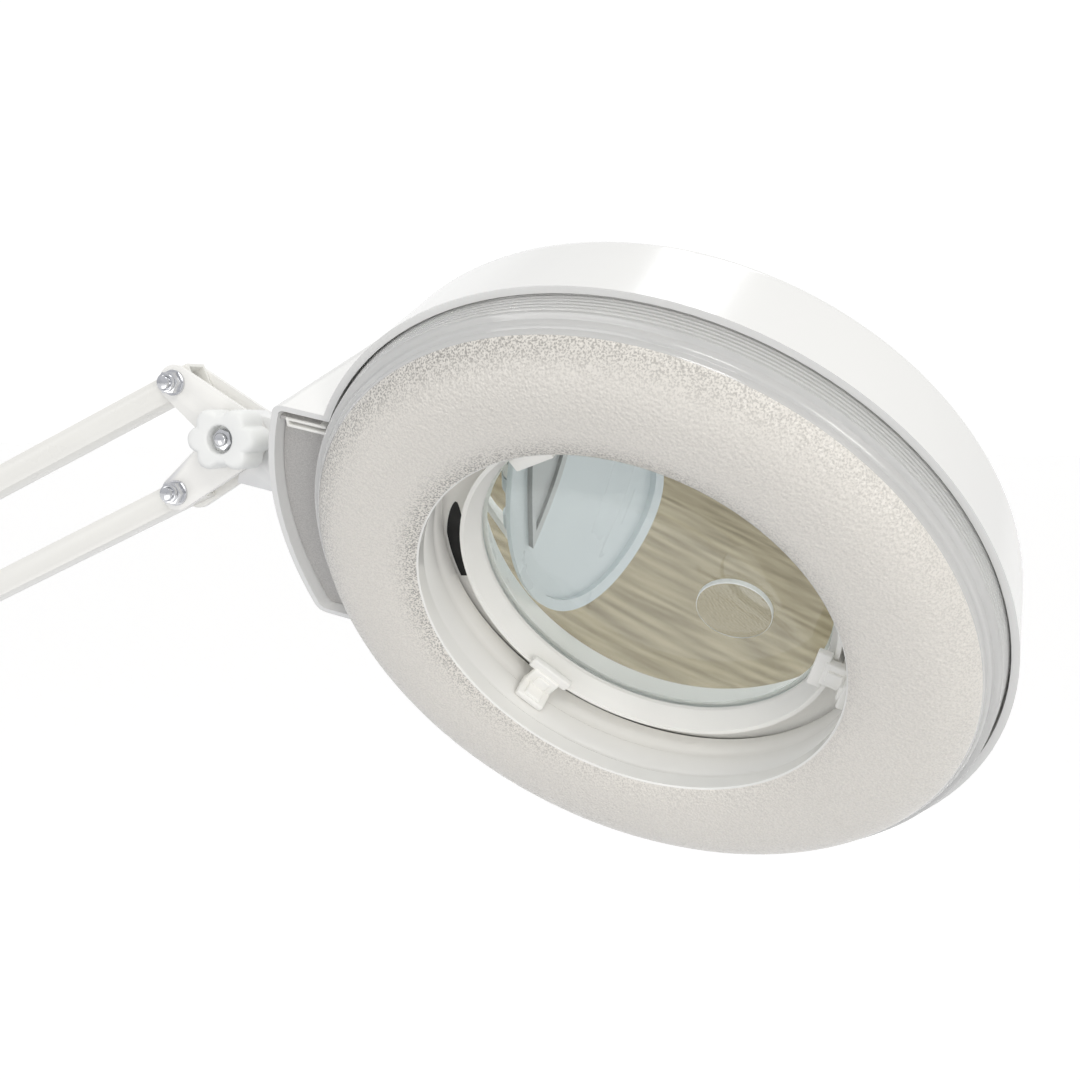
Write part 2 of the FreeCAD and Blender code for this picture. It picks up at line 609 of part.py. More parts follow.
def diffuser():
    """Clear moulding: ribbed side wall, domed crown and the collar round the lens."""
    wall = size("diffuser_wall")

    def section(inset):
        foot = Vector(120.9 - inset, 0, -9.5)
        step = Vector(119.6 - inset, 0, -19.5)
        shoulder = Vector(size("crown_radius") - inset, 0, -size("crown_drop") + inset * 0.5)
        flank = Vector(108 - inset * 0.3, 0, -30.2 + inset)
        crown = Vector(96, 0, -32.6 + inset)
        inner = Vector(82, 0, -31.4 + inset)
        hole = Vector(size("hole_radius") + inset, 0, -size("hole_drop") + inset)
        collar = Vector(78.6 + inset, 0, -1.2)
        side = [Part.LineSegment(foot, step).toShape(), Part.LineSegment(step, shoulder).toShape()]
        dome = Part.BSplineCurve()
        dome.interpolate([shoulder, flank, crown, inner, hole])
        return side + [dome.toShape(), Part.LineSegment(hole, collar).toShape()], foot, collar

    outer, outer_foot, outer_end = section(0)
    inner, inner_foot, inner_end = section(wall)
    rim = [Part.LineSegment(outer_foot, inner_foot).toShape(),
           Part.LineSegment(outer_end, inner_end).toShape()]
    face_shape = Part.Face(Part.Wire(Part.__sortEdges__(outer + inner + rim)))
    node("diffuser", shaped("diffuser_shell", face_shape.revolve(Vector(), Z, 360)), HEAD)


def dish(radius, curve, edge_low, edge_high):
    """A round biconvex lens about Z, with a straight edge between the two heights."""
    sag = curve - math.sqrt(curve * curve - radius * radius)
    rim_low, rim_high = Vector(radius, 0, edge_low), Vector(radius, 0, edge_high)
    pole_low, pole_high = Vector(0, 0, edge_low - sag), Vector(0, 0, edge_high + sag)
    middle = radius / 2
    drop = curve - math.sqrt(curve * curve - middle * middle)
    edges = [Part.Arc(pole_low, Vector(middle, 0, pole_low.z + drop), rim_low).toShape(),
             Part.LineSegment(rim_low, rim_high).toShape(),
             Part.Arc(rim_high, Vector(middle, 0, pole_high.z - drop), pole_high).toShape(),
             Part.LineSegment(pole_high, pole_low).toShape()]
    return Part.Face(Part.Wire(edges)).revolve(Vector(), Z, 360)


def optics():
    front = 1.6
    glass = dish(size("lens_radius"), size("lens_curve"), front, front + size("lens_edge"))
    inset = size("inset_offset")
    small = Part.makeSphere(46, Vector(inset, 0, 38.2)).cut(Part.makeBox(200, 200, 100, Vector(-100, -100, 3)))
    small = small.common(Part.makeCylinder(size("inset_radius"), 20, Vector(inset, 0, -12)))
    pocket = Part.makeCylinder(size("inset_radius") + CLEAR, 12, Vector(inset, 0, -9))
    node("magnifier_lens", shaped("glass", glass.cut(pocket)), HEAD)
    node("inset_lens", shaped("inset_glass", small), HEAD)
    node("lens_ring", turned("ring", [
        ("ring_inner", 0.9), ("ring_inner", -0.6), ("ring_outer - 1.6", "-ring_height"),
        ("ring_outer", "-ring_height"), ("ring_outer", 0.4), (65.2, 0.4), (65.2, 0.9)]), HEAD)
    clips = []
    for number, angle in enumerate((56, 170, -54)):
        bar = block(f"clip_bar_{number}", 15.6, 9, 2, 68.8, 0, -10.3)
        outer = block(f"clip_end_{number}", 5, 14, 4.4, 74, 0, -12.7)
        leg = block(f"clip_leg_{number}", 2.4, 9, 9.2, 71, 0, -8.8)
        clip = fuse(f"clip_{number}", bar, outer, leg)
        clip.Placement = Placement(Vector(), Rotation(Z, 180 - angle))
        clips.append(clip)
    node("lens_clips", group("clip_set", clips), HEAD)


def cover():
    """Flip-up lid that shuts inside the lens opening, with the bracket it turns on."""
    hinge, rise, level = size("cover_hinge"), size("cover_hinge_rise"), size("cover_level")
    edge = size("cover_radius")
    lid = turned("lid", [
        (0, level + 1.6), (40, level + 1.2), (62.2, level + 0.2), (62.2, "cover_level - 1.2"),
        ("cover_radius", "cover_level - 1.2"), ("cover_radius", "cover_level + 0.6"),
        (edge - 1.3, level + 1.6), (58, level + 1.9), (40, level + 2.8), (0, level + 3.3)])
    ears = [rod(f"ear_{side}", 2.7, 5, -hinge, side * 7.5 - 2.5, rise, "y") for side in (-1, 1)]
    roots = [block(f"ear_root_{side}", 5.4, 5, rise - level - 1.8, -hinge, side * 7.5, level + 1.8)
             for side in (-1, 1)]
    bore = rod("lid_bore", "hinge_pin + 0.05", 60, -hinge, -30, rise, "y")
    knuckles = [cut(f"knuckle_{number}", fuse(f"ear_solid_{number}", *pair), bore)
                for number, pair in enumerate(zip(ears, roots))]
    plate = padded("lid_gusset", "XY_Plane", [(-51, -19), (-22, 0), (-51, 19)], 2.6)
    plate.Placement = at(0, 0, level - 1.4)
    pocket = padded("lid_gusset_pocket", "XY_Plane", [(-48.6, -13.4), (-28.4, 0), (-48.6, 13.4)], 1.2)
    pocket.Placement = at(0, 0, level - 1.5)
    gusset = cut("lid_gusset_cut", plate, pocket)
    pull = block("lid_pull", 2.4, 20, 6, 60, 0, level + 1.6)
    node("lens_cover", fuse("lid_solid", lid, *knuckles, gusset, pull), COVER)

    under = shaped("saddle_under", drum_solid(0, -20).fuse(neck_solid(0, -20)))
    base = cut("hinge_base", block("hinge_plate", 14, 32, 6.6, -78, 0, 26), under)
    arms = []
    for side in (-1, 1):
        arm = padded(f"hinge_arm_{side}", "XZ_Plane", [
            (-hinge - 1.4, rise - 1.8), (-hinge + 1.4, rise + 1.8), (-62, 28.4), (-67, 32.6), (-74, 32.6),
            (-74, 30.7), (-69, 30.7), (-65.4, 28.4)], 4)
        arm.Placement = at(0, side * 12.4 + 2, 0)
        eye = rod(f"hinge_eye_{side}", 2.5, 4, -hinge, side * 12.4 - 2, rise, "y")
        arms += [arm, eye]
    pin_hole = rod("saddle_bore", size("hinge_pin") + CLEAR, 60, -hinge, -30, rise, "y")
    node("cover_hinge_saddle", cut("saddle", fuse("saddle_solid", base, *arms), pin_hole), HEAD)
    node("cover_hinge_pin", rod("pin", "hinge_pin", 31, -hinge, -15.5, rise, "y"), HEAD)


def switch():
    """Rocker switch in the back of the neck, its long side across the neck."""
    x, y, top = -115, 24, size("neck_rise")
    bezel = block("bezel_plate", 15, 22, 1.4, x, y, top)
    body = block("bezel_body", 12.6, 19, 12, x, y, top - 12)
    window = block("bezel_window", 9.6, 15.6, 16, x, y, top - 9)
    pivot = top - 0.4
    sockets = rod("bezel_sockets", 1.56, 11.8, x - 5.9, y, pivot, "x")
    node("switch_bezel", cut("bezel", fuse("bezel_solid", bezel, body), window, sockets), HEAD)
    rocker = padded("rocker", "YZ_Plane", [(-7.2, -3), (7.2, -3), (7.2, 2.2), (0, 0.6), (-7.2, 3.8)], 9)
    rocker.Placement = at(x - 4.5, y, top + 0.6)
    stubs = rod("rocker_stubs", 1.5, 11.4, x - 5.7, y, pivot, "x")
    node("rocker_switch", fuse("rocker_solid", rocker, stubs), HEAD)


def springs(label, frame, anchor, bracket):
    """A spring each side of a tube, from the bracket's pin to a pin through the tube."""
    start = frame.inverse().multVec(bracket.multVec(Vector(*anchor)))
    run = Vector(TUBE_ANCHOR, 0, 0).sub(start)
    way = Rotation(Z, run)
    coils = []
    for side in (-1, 1):
        coil = rod(f"{label}_coil_{side}", "coil_radius + wire_radius", "coil_length")
        core = rod(f"{label}_core_{side}", "coil_radius - wire_radius", "coil_length")
        sleeve = cut(f"{label}_sleeve_{side}", coil, core)
        spare = run.Length - size("coil_length") - 14
        first = start + run * (spare / run.Length) + Vector(0, side * SPRING_OUT, 0)
        sleeve.Placement = Placement(first, way)
        coils.append(sleeve)
    node(f"{label}_springs", group(f"{label}_pair", coils), frame)
    pin = rod(f"{label}_far", 2, 2 * SPRING_OUT + 8, TUBE_ANCHOR, -SPRING_OUT - 4, 0, "y")
    node(f"{label}_tube_pin", pin, frame)
    x, _, z = anchor
    pin = rod(f"{label}_near", 2, 2 * SPRING_OUT + 8, x, -SPRING_OUT - 4, z, "y")
    node(f"{label}_anchor_pin", pin, bracket)


clamp()
clamp_screw()
base_bracket()
tube("lower_rear_tube", "lower_length", LOWER_REAR, True)
tube("lower_front_tube", "lower_length", LOWER_FRONT)
springs("lower", LOWER_REAR, BASE_ANCHOR, BASE)
elbow_bracket()
tube("forearm_low_tube", "forearm_length", FORE_LOW, True)
tube("forearm_high_tube", "forearm_length", FORE_HIGH)
springs("forearm", FORE_LOW, ELBOW_ANCHOR, ELBOW)
knuckle_bracket()
tilt_joint()
housing()
light_unit()
diffuser()
optics()
cover()
switch()

doc.recompute()
for item in doc.Objects:
    if {"Invalid", "Error"} & set(item.State):
        raise RuntimeError(f"{item.Label} is {item.State}")
for item in NODES:
    if item.Shape.isNull() or not item.Shape.isValid() or not item.Shape.Solids:
        raise RuntimeError(f"{item.Label} has no valid solid")

os.makedirs("parts", exist_ok=True)
for item in NODES:
    item.Shape.exportStep(f"parts/{item.Label}.step")
    box = item.Shape.BoundBox
    print(f"{item.Label:22} {len(item.Shape.Solids):2} solids {item.Shape.Volume:10.0f} mm3 "
          f"x {box.XMin:7.1f} {box.XMax:7.1f} y {box.YMin:7.1f} {box.YMax:7.1f} "
          f"z {box.ZMin:7.1f} {box.ZMax:7.1f}")
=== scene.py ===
import bpy
import bmesh
import json
import math
from mathutils import Matrix, Vector

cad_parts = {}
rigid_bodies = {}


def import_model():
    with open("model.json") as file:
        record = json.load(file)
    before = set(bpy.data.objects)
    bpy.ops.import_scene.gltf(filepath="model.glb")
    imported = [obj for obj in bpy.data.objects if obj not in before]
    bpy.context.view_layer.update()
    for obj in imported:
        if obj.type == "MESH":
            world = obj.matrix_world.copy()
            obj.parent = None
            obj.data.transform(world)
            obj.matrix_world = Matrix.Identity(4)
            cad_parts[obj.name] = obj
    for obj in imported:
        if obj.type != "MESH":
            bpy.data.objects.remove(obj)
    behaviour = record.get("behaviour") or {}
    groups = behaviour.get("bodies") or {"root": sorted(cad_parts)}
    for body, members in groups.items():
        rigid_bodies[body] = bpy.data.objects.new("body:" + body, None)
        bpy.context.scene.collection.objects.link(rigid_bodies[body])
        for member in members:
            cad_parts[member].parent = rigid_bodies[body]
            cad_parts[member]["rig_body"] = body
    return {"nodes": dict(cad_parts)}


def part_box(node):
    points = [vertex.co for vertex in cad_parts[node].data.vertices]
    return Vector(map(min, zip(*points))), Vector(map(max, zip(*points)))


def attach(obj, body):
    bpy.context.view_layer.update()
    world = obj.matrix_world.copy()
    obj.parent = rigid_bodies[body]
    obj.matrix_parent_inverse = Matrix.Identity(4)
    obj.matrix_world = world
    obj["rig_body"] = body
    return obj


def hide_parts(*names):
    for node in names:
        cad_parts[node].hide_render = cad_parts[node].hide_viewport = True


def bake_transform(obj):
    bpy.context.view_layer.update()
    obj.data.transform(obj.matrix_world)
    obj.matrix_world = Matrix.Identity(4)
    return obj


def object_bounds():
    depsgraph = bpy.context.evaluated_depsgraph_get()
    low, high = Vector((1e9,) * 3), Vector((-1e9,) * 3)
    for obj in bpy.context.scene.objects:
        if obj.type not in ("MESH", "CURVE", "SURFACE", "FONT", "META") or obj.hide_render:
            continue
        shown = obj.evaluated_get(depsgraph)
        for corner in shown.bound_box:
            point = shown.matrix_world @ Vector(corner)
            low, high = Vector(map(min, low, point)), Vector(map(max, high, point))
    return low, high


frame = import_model()
NODES = frame["nodes"]
BODY_OF = {name: obj["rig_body"] for name, obj in NODES.items()}
cad_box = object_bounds()
scene = bpy.context.scene
MM = 0.001

# The places of the moving parts at rest, in the model's frame, as the CAD model has them.
KNOB = Vector((316.767, 0, 680.246)) * MM
TILT, ROLL = math.radians(11.7), math.radians(54)
HEAD = (Matrix.Translation(KNOB) @ Matrix.Rotation(TILT, 4, "Y") @ Matrix.Rotation(-ROLL, 4, "X")
        @ Matrix.Translation(Vector((171.4, 0, -20)) * MM))
COVER_HINGE = Vector((-56, 0, 22.1)) * MM  # in the head's frame
COVER_OPENING = math.radians(69)
POCKET_DEPTH = 5.0  # of the knob's recess, in mm

# Where the camera stands from the knob, and the way that it looks.
VIEW_FROM = Vector((0.2957, -0.4876, 0.0165))
VIEW_RIGHT = Vector((0.9403, 0.3404, -0.0009))
VIEW_BACK = Vector((0.3388, -0.9355, 0.1007))


# ---- camera, light and surroundings ----

def camera():
    data = bpy.data.cameras.new("camera")
    data.lens, data.sensor_width, data.sensor_fit = 47.67, 36, "HORIZONTAL"
    data.clip_start, data.clip_end = 0.01, 60
    back = VIEW_BACK.normalized()
    up = back.cross(VIEW_RIGHT.normalized()).normalized()
    right = up.cross(back).normalized()
    body = bpy.data.objects.new("camera", data)
    scene.collection.objects.link(body)
    turn = Matrix((right, up, back)).transposed().to_4x4()
    body.matrix_world = Matrix.Translation(KNOB + VIEW_FROM) @ turn
    scene.camera = body


def area(name, place, target, size, power, colour=(1, 1, 1)):
    data = bpy.data.lights.new(name, "AREA")
    data.shape, data.size, data.size_y = "RECTANGLE", size[0], size[1]
    data.energy, data.color = power, colour
    lamp = bpy.data.objects.new(name, data)
    scene.collection.objects.link(lamp)
    lamp.location = place
    lamp.rotation_euler = (Vector(place) - Vector(target)).to_track_quat("Z", "Y").to_euler()


def add_node(tree, kind, **values):
    """A new shader node with its inputs set: From_Min=0 sets the input called From Min."""
    node = tree.nodes.new("ShaderNode" + kind)
    for key, value in values.items():
        node.inputs[key.replace("_", " ")].default_value = value
    return node


def daylight():
    """Soft studio light: brighter from the upper right, cooler and dimmer from below, and white
    behind the lamp, where a pale wall would stand."""
    world = bpy.data.worlds.new("studio")
    scene.world = world
    world.use_nodes = True
    tree = world.node_tree
    background = tree.nodes["Background"]
    place = add_node(tree, "TexCoord")

    def along(direction):
        dot = add_node(tree, "VectorMath")
        dot.operation = "DOT_PRODUCT"
        dot.inputs[1].default_value = direction.normalized()
        tree.links.new(place.outputs["Generated"], dot.inputs[0])
        return dot.outputs["Value"]

    ramp = add_node(tree, "ValToRGB")
    span = add_node(tree, "MapRange", From_Min=-1, From_Max=1)
    tree.links.new(along(Vector((0.45, 0.25, 0.86))), span.inputs["Value"])
    tree.links.new(span.outputs["Result"], ramp.inputs["Fac"])
    stops = ramp.color_ramp.elements
    stops[0].position, stops[0].color = 0.0, (0.38, 0.385, 0.405, 1)
    stops[1].position, stops[1].color = 1.0, (0.80, 0.795, 0.785, 1)
    for position, colour in ((0.34, (0.72, 0.725, 0.75, 1)), (0.58, (0.84, 0.84, 0.845, 1))):
        stops.new(position).color = colour
    wall_edge, wall_full = math.radians(46), math.radians(34)
    wall = add_node(tree, "MapRange", From_Min=math.cos(wall_edge), From_Max=math.cos(wall_full))
    wall.interpolation_type = "SMOOTHSTEP"
    tree.links.new(along(-VIEW_BACK), wall.inputs["Value"])
    blend = add_node(tree, "MixRGB", Color2=(1.04, 1.04, 1.04, 1))
    tree.links.new(wall.outputs["Result"], blend.inputs["Fac"])
    tree.links.new(ramp.outputs["Color"], blend.inputs["Color1"])
    tree.links.new(blend.outputs["Color"], background.inputs["Color"])
    background.inputs["Strength"].default_value = 1.0


def surroundings():
    daylight()
    low = cad_box[0][2]
    floor_gap = 0.0005
    bpy.ops.mesh.primitive_plane_add(size=40, location=(0.2, 0, low - floor_gap))
    floor = bpy.context.object
    floor.name = "floor"
    paint(floor, plain("floor_white", (0.93, 0.93, 0.93), 0.7, grain=(60, 0.02),
                       Emission_Strength=0.22, Emission_Color=(1, 1, 1, 1)))
    floor.visible_diffuse = False
    head = HEAD.translation
    warm, soft_warm, cool = (1.0, 0.975, 0.94), (1.0, 0.99, 0.97), (0.94, 0.97, 1.0)
    ceiling = (0.32, 1.1)
    area("ceiling_panel_left", head + Vector((-0.55, 0.25, 1.9)), head, ceiling, 1.2)
    area("ceiling_panel_right", head + Vector((0.15, 0.35, 1.9)), head, ceiling, 1.2)
    area("window", head + Vector((1.0, -1.35, -0.1)), head, (0.5, 0.7), 5.8, warm)
    away = 1.4
    area("fill", head + Vector((0.25, -0.8, 0.62)) * away, head, (0.4, 0.4), 2.5, soft_warm)
    area("bounce", head + Vector((-0.5, -0.8, -0.33)) * away, head, (0.6, 0.6), 1.8, soft_warm)
    # two window panes whose reflections fall on the glossy wall of the drum
    wall = HEAD @ (Vector((8, -121, 10)) * MM)
    away = 1.5
    area("pane_left", wall + Vector((-0.09, 0.548, 0.832)) * away, wall, (0.12, 0.6), 0.7, cool)
    area("pane_right", wall + Vector((0.055, 0.535, 0.843)) * away, wall, (0.22, 0.6), 1.3, cool)
    scene.view_settings.view_transform = "Standard"
    workshop_card()


def workshop_card():
    """What stands behind the lamp, seen only through its glass: a tan corrugated surface."""
    mat = bpy.data.materials.new("tan_corrugated")
    mat.use_nodes = True
    tree = mat.node_tree
    shader = tree.nodes["Principled BSDF"]
    place = add_node(tree, "TexCoord")
    turn = add_node(tree, "Mapping", Rotation=(0, 0, math.radians(-14)), Scale=(2.2, 4.6, 1))
    tree.links.new(place.outputs["Object"], turn.inputs["Vector"])
    blots = add_node(tree, "TexNoise", Scale=110, Detail=2)
    tree.links.new(place.outputs["Object"], blots.inputs["Vector"])
    warp = add_node(tree, "TexWave", Scale=7, Distortion=5, Detail=1.5, Detail_Scale=2.0)
    warp.bands_direction = "Y"
    tree.links.new(turn.outputs["Vector"], warp.inputs["Vector"])
    weft = add_node(tree, "TexWave", Scale=8, Distortion=7, Detail=1.5)
    weft.bands_direction = "X"
    tree.links.new(turn.outputs["Vector"], weft.inputs["Vector"])
    blot_share, weft_share, warp_share = 0.75, 0.26, 0.08
    total = add_node(tree, "Math")
    total.operation = "MULTIPLY"
    total.inputs[1].default_value = blot_share
    tree.links.new(blots.outputs["Fac"], total.inputs[0])
    for wave, share in ((weft, weft_share), (warp, warp_share)):
        join = add_node(tree, "Math")
        join.operation = "MULTIPLY_ADD"
        join.inputs[1].default_value = share
        tree.links.new(wave.outputs["Fac"], join.inputs[0])
        tree.links.new(total.outputs["Value"], join.inputs[2])
        total = join
    ramp = add_node(tree, "ValToRGB")
    stops = ramp.color_ramp.elements
    stops[0].position, stops[0].color = 0.2, (*tone(126, 115, 88), 1)
    stops[1].position, stops[1].color = 0.8, (*tone(181, 170, 141), 1)
    tree.links.new(total.outputs["Value"], ramp.inputs["Fac"])
    tree.links.new(ramp.outputs["Color"], shader.inputs["Base Color"])
    shader.inputs["Roughness"].default_value = 0.9
    behind = HEAD.translation + Vector((-0.25, 0.75, -0.1))
    bpy.ops.mesh.primitive_plane_add(size=3.0, location=behind)
    card = bpy.context.object
    card.name = "workshop_card"
    card.rotation_euler = (math.radians(90), 0, math.radians(19))
    paint(card, mat)
    card.visible_camera = False
    card.visible_diffuse = False
    card.visible_glossy = False
    card.visible_shadow = False


# ---- materials ----

def tone(*rgb):
    """A colour given as 0 to 255 per channel, in the linear values that the shader takes."""
    return tuple(c / 255 / 12.92 if c <= 10 else ((c / 255 + 0.055) / 1.055) ** 2.4 for c in rgb)


def plain(name, colour, rough, metal=0.0, grain=None, blotch=(45, 0.03, 0.08), wear=None, **more):
    """A procedural surface. grain is fine relief: scale, strength. blotch is change over the part:
    scale, share of the colour, roughness. wear is the colour of the worn edges."""
    mat = bpy.data.materials.new(name)
    mat.use_nodes = True
    tree = mat.node_tree
    shader = tree.nodes["Principled BSDF"]
    shader.inputs["Base Color"].default_value = (*colour, 1)
    shader.inputs["Roughness"].default_value = rough
    shader.inputs["Metallic"].default_value = metal
    for key, value in more.items():
        shader.inputs[key.replace("_", " ")].default_value = value
    source = add_node(tree, "TexCoord").outputs["Object"]
    if grain:
        noise = add_node(tree, "TexNoise", Scale=grain[0], Detail=4)
        bump = add_node(tree, "Bump", Strength=grain[1], Distance=0.0005)
        tree.links.new(source, noise.inputs["Vector"])
        tree.links.new(noise.outputs["Fac"], bump.inputs["Height"])
        tree.links.new(bump.outputs["Normal"], shader.inputs["Normal"])
    size, tint, gloss = blotch
    dark, pale = 0.3, 0.7  # the part of the noise's range that is used
    cloud = add_node(tree, "TexNoise", Scale=size, Detail=5)
    tree.links.new(source, cloud.inputs["Vector"])
    ramp = add_node(tree, "ValToRGB")
    stops = ramp.color_ramp.elements
    stops[0].position, stops[1].position = dark, pale
    stops[0].color = (*[c * (1 - tint) for c in colour], 1)
    stops[1].color = (*[min(c * (1 + tint), 1) for c in colour], 1)
    tree.links.new(cloud.outputs["Fac"], ramp.inputs["Fac"])
    tree.links.new(ramp.outputs["Color"], shader.inputs["Base Color"])
    span = add_node(tree, "MapRange", From_Min=dark, From_Max=pale,
                    To_Min=max(rough - gloss, 0.02), To_Max=min(rough + gloss, 1))
    tree.links.new(cloud.outputs["Fac"], span.inputs["Value"])
    tree.links.new(span.outputs["Result"], shader.inputs["Roughness"])
    if wear:
        edge = add_node(tree, "NewGeometry")
        worn = add_node(tree, "MapRange", From_Min=0.53, From_Max=0.62)
        tree.links.new(edge.outputs["Pointiness"], worn.inputs["Value"])
        blend = add_node(tree, "MixRGB", Color2=(*wear, 1))
        tree.links.new(worn.outputs["Result"], blend.inputs["Fac"])
        tree.links.new(ramp.outputs["Color"], blend.inputs["Color1"])
        tree.links.new(blend.outputs["Color"], shader.inputs["Base Color"])
    return mat


def frosted(name, colour, rough, relief, depth):
    """Pebbled crown of the diffuser: pale warm grey, lit from the room, with fine dark flecks of painted
    shade over the pebbles, deeper where the attribute rim is higher: painted dark reflections at its edges."""
    mat = plain(name, colour, rough, blotch=(14, 0.02, 0.05), IOR=1.49, Transmission_Weight=0.12,
                Coat_Weight=0.25, Coat_Roughness=0.12)
    tree = mat.node_tree
    shader = tree.nodes["Principled BSDF"]
    place = add_node(tree, "TexCoord")
    pebbles = add_node(tree, "TexVoronoi", Scale=900)
    pebbles.feature = "SMOOTH_F1"
    pebbles.inputs["Smoothness"].default_value = 0.6
    waves = add_node(tree, "TexNoise", Scale=1650, Detail=1.5)
    join = add_node(tree, "Math")
    join.operation = "MULTIPLY_ADD"
    join.inputs[1].default_value = 0.35  # share of the waves in the relief
    bump = add_node(tree, "Bump", Strength=relief, Distance=0.0005)
    bump.invert = True
    tree.links.new(place.outputs["Object"], pebbles.inputs["Vector"])
    tree.links.new(place.outputs["Object"], waves.inputs["Vector"])
    tree.links.new(waves.outputs["Fac"], join.inputs[0])
    tree.links.new(pebbles.outputs["Distance"], join.inputs[2])
    tree.links.new(join.outputs["Value"], bump.inputs["Height"])
    tree.links.new(bump.outputs["Normal"], shader.inputs["Normal"])
    tree.links.new(bump.outputs["Normal"], shader.inputs["Coat Normal"])
    rim = add_node(tree, "Attribute")
    rim.attribute_name = "rim"
    # painted shade: the flecks' darkest value falls from 1 - depth to 0.4 as the attribute rim rises, for
    # dark reflections at the crown's edges
    rim_shade = add_node(tree, "MapRange", To_Min=1 - depth, To_Max=0.4)
    tree.links.new(rim.outputs["Fac"], rim_shade.inputs["Value"])
    shade = add_node(tree, "MapRange", From_Min=0.38, From_Max=0.56, To_Max=1.03)
    tree.links.new(waves.outputs["Fac"], shade.inputs["Value"])
    tree.links.new(rim_shade.outputs["Result"], shade.inputs["To Min"])
    tint = add_node(tree, "VectorMath")
    tint.operation = "SCALE"
    base = shader.inputs["Base Color"].links[0].from_socket
    tree.links.new(base, tint.inputs[0])
    tree.links.new(shade.outputs["Result"], tint.inputs["Scale"])
    tree.links.new(tint.outputs["Vector"], shader.inputs["Base Color"])
    return mat


def clear(name, colour, rough, index, transmission=1.0, **more):
    """Glass or clear plastic. Only a rough one gets change in its gloss."""
    gloss = 0.015 if rough > 0.02 else 0.0
    return plain(name, colour, rough, blotch=(30, 0.004, gloss), Transmission_Weight=transmission,
                 IOR=index, **more)


def paint(obj, *mats):
    obj.data.materials.clear()
    for mat in mats:
        obj.data.materials.append(mat)


# ---- making meshes ----

def add_mesh(name, verts, faces, place=None):
    """A smooth mesh from points in mm, carried by the matrix place."""
    mesh = bpy.data.meshes.new(name)
    if place is not None:
        verts = [place @ (Vector(v) * MM) for v in verts]
    else:
        verts = [Vector(v) * MM for v in verts]
    mesh.from_pydata([tuple(v) for v in verts], [], faces)
    mesh.validate()
    mesh.shade_smooth()
    obj = bpy.data.objects.new(name, mesh)
    scene.collection.objects.link(obj)
    return obj


def sharpen(mesh, degrees):
    """Smooth faces, with the edges sharper than this kept as edges."""
    body = bmesh.new()
    body.from_mesh(mesh)
    bmesh.ops.recalc_face_normals(body, faces=body.faces)
    for face in body.faces:
        face.smooth = True
    for edge in body.edges:
        if len(edge.link_faces) == 2:
            edge.smooth = edge.calc_face_angle(0) < math.radians(degrees)
    body.to_mesh(mesh)
    body.free()


def lathe(name, profile, steps, place=None, sharp=30, marks=None):
    """Turns a closed (radius, height) profile about Z. marks gives each profile edge its slot."""
    verts, faces, slots = [], [], []
    count = len(profile)
    on_axis = [abs(r) < 1e-6 for r, z in profile]
    index = []
    for number, (r, z) in enumerate(profile):
        if on_axis[number]:
            index.append([len(verts)] * steps)
            verts.append((0, 0, z))
        else:
            index.append(list(range(len(verts), len(verts) + steps)))
            for k in range(steps):
                angle = 2 * math.pi * k / steps
                verts.append((r * math.cos(angle), r * math.sin(angle), z))
    for number in range(count):
        after = (number + 1) % count
        if on_axis[number] and on_axis[after]:
            continue
        for k in range(steps):
            m = (k + 1) % steps
            quad = [index[number][k], index[number][m], index[after][m], index[after][k]]
            faces.append(tuple(dict.fromkeys(quad)))
            slots.append(marks[number] if marks else 0)
    obj = add_mesh(name, verts, faces, place=place)
    if marks:
        for polygon, slot_number in zip(obj.data.polygons, slots):
            polygon.material_index = slot_number
    sharpen(obj.data, sharp)
    return obj


def sweep(name, points, radius):
    """A wire of round section along points in mm, with flat ends."""
    sides = 8
    points = [Vector(p) for p in points]
    verts, faces = [], []
    normal = None
    for number, point in enumerate(points):
        ahead = points[min(number + 1, len(points) - 1)] - points[max(number - 1, 0)]
        ahead.normalize()
        if normal is None:
            normal = ahead.orthogonal().normalized()
        normal = (normal - ahead * normal.dot(ahead)).normalized()
        side = ahead.cross(normal)
        for k in range(sides):
            angle = 2 * math.pi * k / sides
            verts.append(point + (normal * math.cos(angle) + side * math.sin(angle)) * radius)
    for number in range(len(points) - 1):
        for k in range(sides):
            m = (k + 1) % sides
            a, b = number * sides, (number + 1) * sides
            faces.append((a + k, a + m, b + m, b + k))
    faces.append(tuple(range(sides - 1, -1, -1)))
    faces.append(tuple(range((len(points) - 1) * sides, len(points) * sides)))
    obj = add_mesh(name, verts, faces)
    sharpen(obj.data, 50)
    return obj


def soften(node, width):
    """The CAD piece of a node, with its sharp edges rounded off by width, in mm."""
    keen_angle, flat_angle = math.radians(32), math.radians(0.6)
    mesh = NODES[node].data.copy()
    body = bmesh.new()
    body.from_mesh(mesh)
    bmesh.ops.remove_doubles(body, verts=body.verts, dist=2e-6)
    bmesh.ops.dissolve_limit(body, angle_limit=flat_angle, verts=body.verts, edges=body.edges)
    keen = [edge for edge in body.edges if len(edge.link_faces) == 2
            and edge.calc_face_angle(0) > keen_angle]
    bmesh.ops.bevel(body, geom=keen, offset=width * MM, segments=2, profile=0.5,
                    affect="EDGES", clamp_overlap=True, miter_outer="ARC")
    body.to_mesh(mesh)
    body.free()
    mesh.validate()
    obj = bpy.data.objects.new(node + "_body", mesh)
    scene.collection.objects.link(obj)
    sharpen(mesh, 30)
    return obj


def stand_in(obj, body, nodes):
    """The object rides on the body and is shown in place of the CAD nodes."""
    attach(obj, body)
    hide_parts(*nodes)
    return obj


# ---- detailed pieces ----

